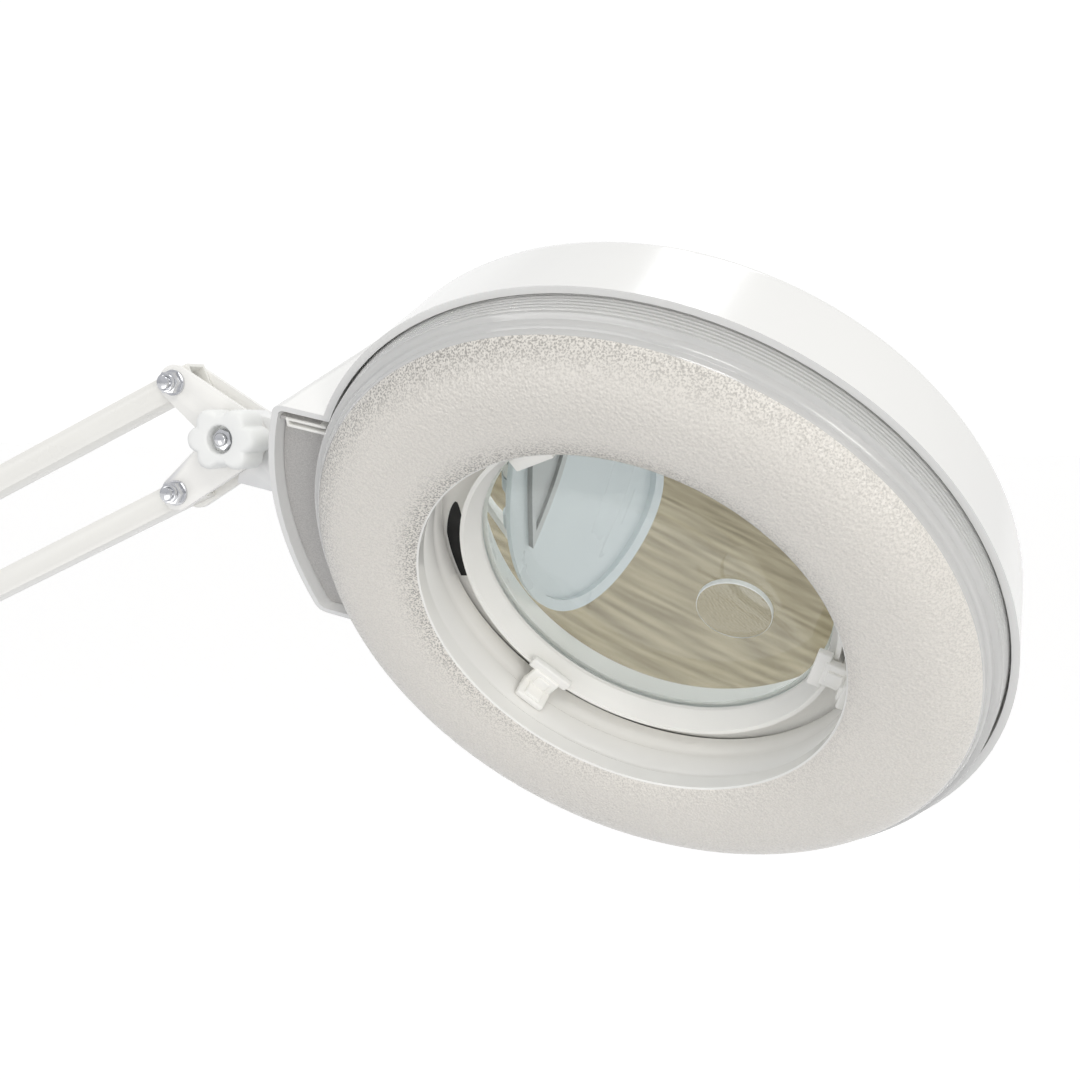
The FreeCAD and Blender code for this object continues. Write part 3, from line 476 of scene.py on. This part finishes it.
def diffuser_moulding():
    """Frosted crown, ribbed clear flank up to the lip, and the clear collar round the lens well."""
    frost, flank, collar = 0, 1, 2  # the material slots
    outer, marks = [], []

    def add(points, mark):
        outer.extend(points)
        marks.extend([mark] * len(points))

    add([(120.9, -9.5)], flank)
    ribs, pitch, draft = 7, 1.34, 0.16
    for k in range(ribs):
        z = -9.9 - k * pitch
        r = 120.85 - k * draft
        add([(r, z), (r - 0.15, z - 0.5), (r - 0.75, z - 0.72), (r - 0.75, z - 1.12)], flank)
    add([(119.6, -19.5), (119.0, -19.9), (118.2, -20.0), (117.6, -20.2), (117.3, -20.8),
         (117.2, -21.5), (116.9, -22.1), (116.5, -22.4), (115.9, -22.6), (115.65, -23.0),
         (115.7, -23.7)], flank)
    add([(115.1, -24.6), (113.6, -26.3), (112.2, -27.5), (109.8, -29.2), (106, -31.0),
         (101.5, -32.1), (96, -32.55), (90, -32.35), (85.5, -31.9), (82, -31.35), (79.4, -30.5),
         (77.6, -29.8), (76.6, -29.3)], frost)
    add([(75.4, -28.7), (74.85, -28.2), (74.95, -27.2)], collar)
    for z, width in ((-22.5, 1.2), (-11.5, 2.6)):  # two broad steps in the collar's slope
        r = 74.85 + (z + 28.3) * (3.8 / 27.1)
        add([(r, z), (r + 0.5, z + 0.4), (r + 0.5 + width * 0.1, z + 0.4 + width),
             (r + 0.3 + width * 0.1, z + 0.8 + width)], collar)
    add([(78.6, -1.2), (79.8, -1.2), (80.5, -1.25)], collar)
    inner = [(77.6, -22.0), (77.2, -26.6), (79.0, -28.2), (83, -29.4), (90, -30.3), (96, -30.5),
             (101, -30.1), (105.5, -29.0), (109, -27.2), (112, -24.6), (113.6, -22.6),
             (115.4, -20.4), (117.4, -18.6), (118.4, -14.0), (118.9, -9.5)]
    marks += [collar] * 3 + [frost] * 7 + [flank] * 5
    obj = lathe("diffuser_moulding", outer + inner, 256, HEAD, sharp=38, marks=marks)
    # clearing the materials resets each face's slot, so the slots are put back after painting
    chosen = [polygon.material_index for polygon in obj.data.polygons]
    paint(obj, FROSTED, CLEAR, COLLAR)
    obj.data.polygons.foreach_set("material_index", chosen)
    # the painted shade of the flecks is deepest at the crown's two rims, as painted dark reflections, and
    # heavier on one side of it, as painted shading from the light's direction
    rim = obj.data.attributes.new("rim", "FLOAT", "POINT")
    back = HEAD.inverted()
    for vertex, mark in zip(obj.data.vertices, rim.data):
        spot = back @ vertex.co / MM
        r = math.hypot(spot.x, spot.y)
        outer_rim_shade = min(max((r - 103) / 10, 0), 1)
        inner_rim_shade = min(max((85 - r) / 7.5, 0), 1)
        # painted shading from one side: the flecks are heavier on the side facing away from (0.9, 0.43) in
        # the head's frame
        facing = 0.5 - 0.5 * (spot.x * 0.9 + spot.y * 0.43) / max(r, 1)
        side = 0.12 + 0.88 * facing ** 1.6
        mark.value = max(outer_rim_shade, inner_rim_shade) ** 1.5 * side
    return stand_in(obj, "head", ["diffuser"])


def smooth_spheres(mesh, balls):
    """Exact normals on the optical faces: each ball is the (centre, radius) of one, in mm."""
    most_off, least_facing = 0.12, 0.97
    normals = []
    for polygon in mesh.polygons:
        middle = polygon.center / MM
        centre = None
        for place, radius in balls:
            away = middle - place
            facing = away.normalized().dot(polygon.normal)
            if abs(away.length - radius) < most_off and facing > least_facing:
                centre = place
        for corner in polygon.vertices:
            spot = mesh.vertices[corner].co / MM
            normals.append((spot - centre).normalized() if centre else Vector((0, 0, 0)))
    mesh.normals_split_custom_set(normals)


def magnifier():
    """The big glass with the small strong lens proud of its front face."""
    curve, rim, chamfer = 347, 65.0, 0.35
    low, high = 1.6, 5.1

    def sag(r):
        return curve - math.sqrt(curve * curve - r * r)

    depth = sag(rim)
    rings = [rim * math.sin(math.pi / 2 * k / 26) for k in range(27)]
    front = [(r, low - depth + sag(r)) for r in rings]
    back = [(r, high + depth - sag(r)) for r in reversed(rings)]
    front[-1] = (rim - chamfer, front[-1][1])
    back[0] = (rim - chamfer, back[0][1])
    edge = [(rim, low + 0.4), (rim, high - 0.4)]
    body = lathe("magnifier", front + edge + back, 224, sharp=25)

    cap, cap_curve, cap_centre = 13.0, 46, 39.2
    reach = [cap * k / 14 for k in range(14)]
    dome = [(r, cap_centre - math.sqrt(cap_curve ** 2 - r ** 2)) for r in reach]
    dome += [(cap - 0.25, -4.95), (cap, -4.7), (cap, 1.0), (0, 1.0)]
    aside, face = 31, 3.15
    seat = (Matrix.Translation(Vector((aside, 0, -face)) * MM)
            @ Matrix.Rotation(-math.asin(aside / curve), 4, "Y")
            @ Matrix.Translation(Vector((0, 0, face)) * MM)
            @ Matrix.Rotation(math.radians(1.3), 4, "Z"))
    inset = lathe("inset", dome, 96, seat, sharp=25)
    union = body.modifiers.new("join", "BOOLEAN")
    union.operation, union.object, union.solver = "UNION", inset, "EXACT"
    bpy.context.view_layer.update()
    graph = bpy.context.evaluated_depsgraph_get()
    done = bpy.data.meshes.new_from_object(body.evaluated_get(graph))
    body.modifiers.clear()
    body.data = done
    bpy.data.objects.remove(inset)
    clean = bmesh.new()
    clean.from_mesh(body.data)
    bmesh.ops.dissolve_degenerate(clean, dist=0.00002, edges=clean.edges)
    clean.to_mesh(body.data)
    clean.free()
    sharpen(body.data, 20)

    # ground glass: the big lens's rim and the small lens's wall
    unseat = seat.inverted()
    ground = []
    for polygon in body.data.polygons:
        spot = polygon.center / MM
        near = unseat @ polygon.center / MM
        upright = abs((unseat.to_3x3() @ polygon.normal).z) < 0.9
        on_wall = 12.5 < math.hypot(near.x, near.y) < 13.3 and upright and spot.z < 1.9
        on_rim = math.hypot(spot.x, spot.y) > 64.3
        ground.append(1 if on_wall or on_rim else 0)
    smooth_spheres(body.data, [(Vector((0, 0, low - depth + curve)), curve),
                               (Vector((0, 0, high + depth - curve)), curve),
                               (seat @ (Vector((0, 0, cap_centre)) * MM) / MM, cap_curve)])
    body.data.transform(HEAD)
    paint(body, GLASS, GROUND)
    body.data.polygons.foreach_set("material_index", ground)
    body.name = "magnifier_glass"
    return stand_in(body, "head", ["magnifier_lens", "inset_lens"])


def spring_pair(label, anchor, far, nodes):
    """Balance springs on both sides of a tube, hooked over two pins, with the coil between lengths of bare
    wire."""
    anchor, far = Vector(anchor), Vector(far)
    run = far - anchor
    ahead = run.normalized()
    across = Vector((0, 1, 0))
    up = across.cross(ahead).normalized()
    hook, hook_steps, wire_radius = 2.9, 14, 0.8
    turns, steps, coil_radius = 54, 14, 4.5
    coil_length, tail = 92, 14
    spare = run.length - coil_length - tail
    for number, side in enumerate((-1, 1)):
        shift = across * (14.6 * side)
        wire = []
        for k in range(hook_steps + 1):
            angle = math.radians(-140 + 140 * k / hook_steps)
            wire.append(anchor + shift + (ahead * math.cos(angle) + up * math.sin(angle)) * hook)
        wire += [anchor + shift + ahead * (hook + (spare - hook - 1.5) * t)
                 for t in (0.08, 0.3, 0.6, 1.0)]
        for k in range(turns * steps + 1):
            t = k / (turns * steps)
            angle = 2 * math.pi * turns * t
            swell = min(1, t * turns / 0.5, (1 - t) * turns / 0.5)
            reach = coil_radius * math.sin(swell * math.pi / 2)
            middle = anchor + shift + ahead * (spare + 0.9 + 90.2 * t)
            wire.append(middle + (up * math.cos(angle) + across * math.sin(angle)) * reach)
        end = far + shift
        wire += [end - ahead * d for d in (12.5, 9, 5, hook + 0.3)]
        for k in range(hook_steps + 1):
            angle = math.radians(180 + 140 * k / hook_steps)
            wire.append(end + (ahead * math.cos(angle) + up * math.sin(angle)) * hook)
        piece = sweep(f"{label}_spring_{number}", wire, wire_radius)
        paint(piece, SPRING)
        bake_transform(piece)
        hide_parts(*nodes)


def threaded_screw():
    """Clamp screw with a real M10 thread, its plain tip and its drilled head."""
    top, length, pitch, runout = -28.3, 78.0, 1.5, 3
    crest, depth, chamfer = 5, 0.92, 0.5
    steps, rise = 36, 0.25
    verts, faces = [], []
    rows = int(length / rise) + 1
    for row in range(rows):
        z = top - row * rise
        whole = max(min(1, (top - z) / runout, (z - (top - length)) / runout), 0)
        for k in range(steps):
            phase = (z / pitch - k / steps) % 1
            tooth = abs(phase * 2 - 1)
            tooth = min(max((tooth - 0.12) / 0.76, 0), 1)  # flat crests and roots
            r = crest - depth * (1 - tooth) * whole - chamfer * (1 - whole)
            angle = 2 * math.pi * k / steps
            verts.append((r * math.cos(angle), r * math.sin(angle), z))
    for row in range(rows - 1):
        for k in range(steps):
            m = (k + 1) % steps
            a, b = row * steps, (row + 1) * steps
            faces.append((a + k, b + k, b + m, a + m))
    faces.append(tuple(range(steps)))
    faces.append(tuple(reversed(range((rows - 1) * steps, rows * steps))))
    thread = add_mesh("screw_thread", verts, faces)
    sharpen(thread.data, 60)
    tip = lathe("screw_tip", [(0, -23.4), (4.2, -23.4), (4.9, -24.0), (4.9, -28.4), (0, -28.4)], 48)
    foot = top - length
    head = lathe("screw_head", [
        (0, foot + 0.2), (5.6, foot + 0.2), (6.6, foot - 0.1), (7.4, foot - 0.8), (7.5, foot - 1.4),
        (7.5, foot - 12.6), (7.3, foot - 13.3), (6.5, foot - 14.0), (2.0, foot - 14.0), (1.6, foot - 13.6),
        (0, foot - 13.6)], 64)
    for piece in (thread, tip, head):
        paint(piece, ZINC)
        stand_in(piece, "screw", ["clamp_screw"])


def holder_slot_shade():
    """A thin black sheet behind the lens ring on the arm side, pointed at one end: painted shade for the
    dark vent there.
    """
    middle, half_width, bottom, top = 74.2, 4.2, 0.42, 0.5
    first_angle, spread, steps = 190, 28, 40
    verts, faces = [], []
    for k in range(steps + 1):
        t = k / steps
        angle = math.radians(first_angle - spread * t)
        width = half_width * min(1, (t * 2.2 + 0.02)) ** 0.6
        for r in (middle - width, middle + width):
            verts += [(r * math.cos(angle), r * math.sin(angle), z) for z in (bottom, top)]
    for k in range(steps):
        a, b = 4 * k, 4 * k + 4
        faces += [(a, b, b + 2, a + 2), (a + 1, a + 3, b + 3, b + 1), (a, a + 1, b + 1, b),
                  (a + 2, b + 2, b + 3, a + 3)]
    last = 4 * steps
    faces += [(0, 2, 3, 1), (last, last + 1, last + 3, last + 2)]
    obj = add_mesh("holder_vent_shade", verts, faces, place=HEAD)
    sharpen(obj.data, 30)
    # painted shade: a black sheet where the vent's opening is dark
    paint(obj, BLACK)
    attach(obj, "head")


def rounded_box(name, low, high, radius, place):
    """A box between two corners, in mm, with its edges rounded."""
    body = bmesh.new()
    bmesh.ops.create_cube(body, size=1)
    for vert in body.verts:
        vert.co = Vector([(a if c < 0 else b) for a, b, c in zip(low, high, vert.co)]) * MM
    bmesh.ops.bevel(body, geom=body.edges[:], offset=radius * MM, segments=3, profile=0.5,
                    affect="EDGES")
    mesh = bpy.data.meshes.new(name)
    body.to_mesh(mesh)
    body.free()
    mesh.transform(place)
    obj = bpy.data.objects.new(name, mesh)
    scene.collection.objects.link(obj)
    sharpen(mesh, 40)
    return obj


def lens_clips():
    """T-shaped clips: the bar lies over the glass, the stem runs out over the ring and down."""
    parts = {
        # name: (low corner, high corner, edge radius)
        "bar": ((61.2, -8.4, -11.0), (66.2, 8.4, -8.4), 0.6),
        "stem": ((64.8, -5.6, -11.8), (76.0, 5.6, -8.7), 0.7),
        "rib": ((66.4, -2.8, -12.8), (74.6, 2.8, -11.2), 0.5),
        "leg": ((70.0, -4.2, -10.2), (72.4, 4.2, 0.4), 0.5),
        "foot": ((72.6, -6.0, -18.6), (75.6, 6.0, -9.2), 0.8),
        "lug": ((71.6, -3.4, -17.4), (73.2, 3.4, -11.4), 0.5),
    }
    for number, angle in enumerate((56, 170, -54)):
        place = HEAD @ Matrix.Rotation(math.radians(180 - angle), 4, "Z")
        for part, (low, high, radius) in parts.items():
            piece = rounded_box(f"clip_{number}_{part}", low, high, radius, place)
            paint(piece, TRIM)
            stand_in(piece, "head", ["lens_clips"])


def panel_tongue():
    """The narrow hairpin rib on the closing panel, beside the neck's side wall."""
    bars = (((-128.6, -45.3, -12.1), (-113.4, -44.1, -8.5)),
            ((-128.6, -42.5, -12.1), (-113.4, -41.3, -8.5)),
            ((-129.4, -45.3, -12.1), (-128.2, -41.3, -8.5)))
    for number, (low, high) in enumerate(bars):
        piece = rounded_box(f"panel_tongue_{number}", low, high, 0.45, HEAD)
        paint(piece, TRIM)
        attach(piece, "head")


def lobed(angle, discs):
    """Distance from the centre to the outside of a set of overlapping discs, softly blended."""
    softness = 0.55
    ahead = Vector((math.cos(angle), math.sin(angle)))
    reach = []
    for x, y, radius in discs:
        middle = Vector((x, y))
        along = middle.dot(ahead)
        aside = middle.length_squared - along * along
        if aside < radius * radius:
            reach.append(along + math.sqrt(radius * radius - aside))
    best = max(reach)
    excess = math.log(sum(math.exp((r - best) / softness) for r in reach))
    return best + softness * excess - softness * 0.35


def knob():
    """Moulded wing knob with six lobes, a rounded rim and a round pocket for the stud's nut."""
    low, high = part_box("tilt_knob")
    back, front = high.y / MM, low.y / MM
    lobe, bore, steps = 4.9, 3.06, 144
    discs = [(0, 0, 10.0), (10.1, 0, lobe), (-10.1, 0, lobe), (5.9, 6.5, lobe), (-5.9, 6.5, lobe),
             (5.9, -6.5, lobe), (-5.9, -6.5, lobe)]
    outline = [lobed(2 * math.pi * k / steps, discs) for k in range(steps)]
    # from the back, over the rim and into the pocket: a ring has its radius, and an inset its
    # distance in from the outline
    layers = [("ring", bore, back - 0.1), ("inset", 1.6, back - 0.1), ("inset", 0.6, back - 0.3),
              ("inset", 0.1, back - 1.0), ("inset", 0.0, back - 2.0), ("inset", 0.0, front + 2.6),
              ("inset", 0.25, front + 1.5), ("inset", 0.9, front + 0.65),
              ("inset", 1.9, front + 0.15), ("inset", 3.0, front + 0.02),
              ("ring", 6.3, front + 0.02), ("ring", 5.7, front + 0.25), ("ring", 5.35, front + 0.8),
              ("ring", 5.3, front + POCKET_DEPTH), ("ring", bore, front + POCKET_DEPTH),
              ("ring", bore, back - 0.1)]
    verts, faces = [], []
    for kind, amount, y in layers:
        for k in range(steps):
            angle = 2 * math.pi * k / steps
            r = amount if kind == "ring" else outline[k] - amount
            verts.append((r * math.cos(angle), y, r * math.sin(angle)))
    for layer in range(len(layers) - 1):
        for k in range(steps):
            m = (k + 1) % steps
            a, b = layer * steps, (layer + 1) * steps
            faces.append((a + k, a + m, b + m, b + k))
    obj = add_mesh("wing_knob", verts, faces)
    obj.data.transform(Matrix.Translation(KNOB))
    sharpen(obj.data, 48)
    paint(obj, KNOB_ABS)
    stand_in(obj, "knob", ["tilt_knob"])


def stud():
    """The clamping stud: a hex nut sunk in the knob, the threaded end standing out of it."""
    front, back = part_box("tilt_knob")[0].y / MM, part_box("tilt_stud")[1].y / MM
    floor = front + POCKET_DEPTH
    place = Matrix.Translation(KNOB) @ Matrix.Rotation(math.radians(90), 4, "X")  # its z is -y
    corner, height = 4.3 * MM, 3.0 * MM
    body = bmesh.new()
    bmesh.ops.create_cone(body, cap_ends=True, segments=6, radius1=corner, radius2=corner,
                          depth=height,
                          matrix=place @ Matrix.Translation(Vector((0, 0, -(floor - 1.55))) * MM)
                          @ Matrix.Rotation(math.radians(11), 4, "Z"))
    bmesh.ops.bevel(body, geom=body.edges[:], offset=0.35 * MM, segments=2, profile=0.5,
                    affect="EDGES")
    mesh = bpy.data.meshes.new("stud_nut")
    body.to_mesh(mesh)
    body.free()
    nut = bpy.data.objects.new("stud_nut", mesh)
    scene.collection.objects.link(nut)
    sharpen(mesh, 30)
    crest, root, pitch = 2.98, 2.45, 1.0
    profile = [(0, -back), (2.4, -back), (2.9, -back + 0.6)]
    z = -back + 1.2
    top = -(floor - 4.6)
    while z < top - 1.4:
        profile += [(crest, z), (root, z + 0.5)]
        z += pitch
    profile += [(2.6, top - 0.5), (2.0, top), (0, top + 0.15)]
    rod = lathe("stud_rod", profile, 48, place, sharp=60)
    for piece in (nut, rod):
        paint(piece, BRIGHT)
        stand_in(piece, "knob", ["tilt_stud"])


def lid_painted_shade():
    """The bracket plate under the lid is painted greyer than the lid as painted shade, with its side faces
    darker still as painted shade.
    """
    opened = (HEAD @ Matrix.Translation(COVER_HINGE) @ Matrix.Rotation(-COVER_OPENING, 4, "Y")
              @ Matrix.Translation(-COVER_HINGE))
    shut = opened.inverted()
    plate_top, plate_reach, plate_end = 17.1, 61, -21
    lid = NODES["lens_cover"]
    paint(lid, SHADED_LID, SHADED_GUSSET, GUSSET_SIDE_SHADE)
    for polygon in lid.data.polygons:
        spot = shut @ polygon.center / MM
        r = math.hypot(spot.x, spot.y)
        # painted shade: flat faces of the bracket plate take slot 1, its side faces the darker slot 2
        if spot.z < plate_top and r < plate_reach and spot.x < plate_end:
            flat = abs((shut.to_3x3() @ polygon.normal).normalized().z) > 0.7
            polygon.material_index = 1 if flat else 2


# ---- the scene ----

camera()
surroundings()

SHELL = plain("shell_abs", tone(236, 236, 234), 0.2, grain=(900, 0.012), blotch=(9, 0.008, 0.05),
              Coat_Weight=0.35, Coat_Roughness=0.06)
TRIM = plain("trim_abs", tone(249, 248, 243), 0.32, grain=(700, 0.02), blotch=(40, 0.012, 0.06))
KNOB_ABS = plain("knob_abs", tone(239, 240, 238), 0.36, grain=(1100, 0.03), blotch=(60, 0.015, 0.08))
# painted shade: the lid is white plastic, given the grey-blue that it shows in shade
SHADED_LID = plain("lid_abs_shaded", tone(206, 215, 218), 0.3, grain=(600, 0.02), blotch=(16, 0.012, 0.06))
ARM = plain("arm_powder_coat", tone(237, 236, 231), 0.3, grain=(520, 0.05), blotch=(30, 0.015, 0.08),
            Coat_Weight=0.25, Coat_Roughness=0.15)
PLATE = plain("plate_powder_coat", tone(246, 245, 241), 0.34, grain=(520, 0.06), blotch=(50, 0.02, 0.08),
              wear=tone(214, 214, 216))
CASTING = plain("casting_powder_coat", tone(243, 243, 242), 0.38, grain=(380, 0.12), blotch=(40, 0.02, 0.08),
                wear=tone(205, 206, 208))
# painted shade: the neck's panel is white plastic, coloured mid grey for the shade in the neck's recess
SHADED_PANEL = plain("panel_grey", tone(186, 184, 181), 0.42, grain=(1300, 0.22), blotch=(1900, 0.16, 0.1))
ZINC = plain("zinc_steel", tone(198, 200, 204), 0.26, 1.0, grain=(1500, 0.05), blotch=(220, 0.08, 0.1))
BRIGHT = plain("bright_steel", tone(206, 207, 210), 0.16, 1.0, grain=(1800, 0.03), blotch=(300, 0.08, 0.06))
SPRING = plain("spring_wire", tone(186, 188, 192), 0.22, 1.0, grain=(2400, 0.04), blotch=(400, 0.1, 0.08))
NYLON = plain("nylon", tone(226, 224, 214), 0.45, grain=(900, 0.03), blotch=(120, 0.02, 0.08),
              Subsurface_Weight=0.15, Subsurface_Scale=0.002)
RUBBER = plain("rubber", tone(44, 44, 46), 0.75, grain=(1400, 0.3), blotch=(150, 0.12, 0.1))
PAD = plain("pad_paint", tone(226, 227, 229), 0.42, grain=(700, 0.1), blotch=(90, 0.03, 0.1),
            wear=tone(170, 171, 174))
PAN = plain("reflector_paint", tone(244, 243, 238), 0.22, grain=(800, 0.02), blotch=(30, 0.01, 0.05))
BOARD = plain("board_mask", tone(238, 238, 230), 0.35, grain=(1600, 0.06), blotch=(260, 0.03, 0.08))
PHOSPHOR = plain("led_phosphor", tone(246, 222, 96), 0.3, grain=(2600, 0.1), blotch=(900, 0.05, 0.1),
                 Subsurface_Weight=0.3, Subsurface_Scale=0.0006)
BLACK = plain("black_case", tone(16, 16, 17), 0.6, grain=(1500, 0.12), blotch=(150, 0.15, 0.1))
GLOSS_BLACK = plain("switch_black", tone(26, 26, 28), 0.24, grain=(1800, 0.03), blotch=(200, 0.1, 0.06))
FROSTED = frosted("frosted_acrylic", tone(238, 234, 226), 0.3, 0.6, 0.06)
COLLAR = clear("collar_acrylic", tone(252, 251, 247), 0.12, 1.49, 0.08)
CLEAR = clear("clear_acrylic", tone(238, 238, 236), 0.1, 1.49, 0.4, Coat_Weight=0.8,
              Coat_Roughness=0.04)
GLASS = clear("lens_glass", (0.955, 0.985, 0.972), 0.0, 1.52)
GROUND = clear("ground_glass_edge", tone(246, 250, 247), 0.4, 1.52, 0.1)
# painted shade: the lid's bracket plate greyer than the lid, its side faces darker
SHADED_GUSSET = plain("gusset_abs_shaded", tone(178, 182, 182), 0.35, grain=(900, 0.03), blotch=(80, 0.03, 0.08))
GUSSET_SIDE_SHADE = plain("gusset_side_shade", tone(136, 138, 136), 0.4, grain=(900, 0.03), blotch=(80, 0.04, 0.08))

ROUND = {
    # node: (material, slot, edge radius in mm or None to keep the CAD piece)
    "head_housing": (SHELL, None, None), "neck_boss": (SHELL, "shell_white", 0.5),
    "neck_panel": (SHADED_PANEL, None, None), "lens_holder": (TRIM, None, None), "lens_ring": (TRIM, None, None),
    "lens_cover": (SHADED_LID, None, None),
    "cover_hinge_saddle": (TRIM, "shell_white", 0.4), "cover_hinge_pin": (ZINC, None, None),
    "reflector": (PAN, None, None), "led_ring": (BOARD, None, None),
    "led_chips": (PHOSPHOR, "phosphor", 0.2), "led_driver": (BLACK, "driver_black", 0.6),
    "lower_rear_tube": (ARM, "metal_white", 1.3), "lower_front_tube": (ARM, "metal_white", 1.3),
    "forearm_low_tube": (ARM, "metal_white", 1.3), "forearm_high_tube": (ARM, "metal_white", 1.3),
    "base_plate_front": (PLATE, "metal_white", 0.4), "base_plate_back": (PLATE, "metal_white", 0.4),
    "elbow_plate_front": (PLATE, "metal_white", 0.4), "elbow_plate_back": (PLATE, "metal_white", 0.4),
    "knuckle_plate_front": (PLATE, "metal_white", 0.4), "knuckle_plate_back": (PLATE, "metal_white", 0.4),
    "tilt_block": (CASTING, "metal_white", 0.5), "base_block": (CASTING, "metal_white", 0.9),
    "clamp_frame": (CASTING, "metal_white", 1.2), "socket_bush": (NYLON, "nylon", 0.3),
    "seat_pad": (RUBBER, "rubber_black", 0.4), "clamp_pad": (PAD, "pad_steel", 0.5),
    "clamp_handle": (ZINC, "steel", 0.6), "socket_lock_screw": (ZINC, "steel", 0.4),
    "roll_spindle": (ZINC, None, None), "roll_nut": (BRIGHT, "steel", 0.3),
    "roll_friction_screw": (ZINC, "steel", 0.3), "swivel_pin": (ZINC, "steel", 0.4),
    "tilt_washer": (BRIGHT, None, None), "tilt_nut": (BRIGHT, "fasteners", 0.3),
    "lower_anchor_pin": (ZINC, "steel", 0.4), "lower_tube_pin": (ZINC, "steel", 0.4),
    "forearm_anchor_pin": (ZINC, "steel", 0.4), "forearm_tube_pin": (ZINC, "steel", 0.4),
    "switch_bezel": (GLOSS_BLACK, "switch_black", 0.3), "rocker_switch": (GLOSS_BLACK, "switch_black", 0.4),
}
for bracket in ("base", "elbow", "knuckle"):
    ROUND[bracket + "_bolts"] = (BRIGHT, "fasteners", 0.3)
    ROUND[bracket + "_nuts"] = (BRIGHT, "fasteners", 0.25)
    ROUND[bracket + "_washers"] = (BRIGHT, None, None)

for node, (mat, slot, radius) in ROUND.items():
    if node not in NODES:
        raise RuntimeError("no node " + node)
    if radius is None:
        paint(NODES[node], mat)
    else:
        paint(stand_in(soften(node, radius), BODY_OF[node], [node]), mat)

diffuser_moulding()
lid_painted_shade()
lens_clips()
panel_tongue()
knob()
stud()
magnifier()
holder_slot_shade()
threaded_screw()
spring_pair("lower", (0, 0, 75), (-61.41, 0, 249.55), ["lower_springs"])
spring_pair("forearm", (-83.55, 0, 509.05), (67.82, 0, 561.13), ["forearm_springs"])
missed = [name for name in NODES if name not in ROUND and not NODES[name].hide_render]
if missed:
    raise RuntimeError("nodes with no finish: " + ", ".join(missed))
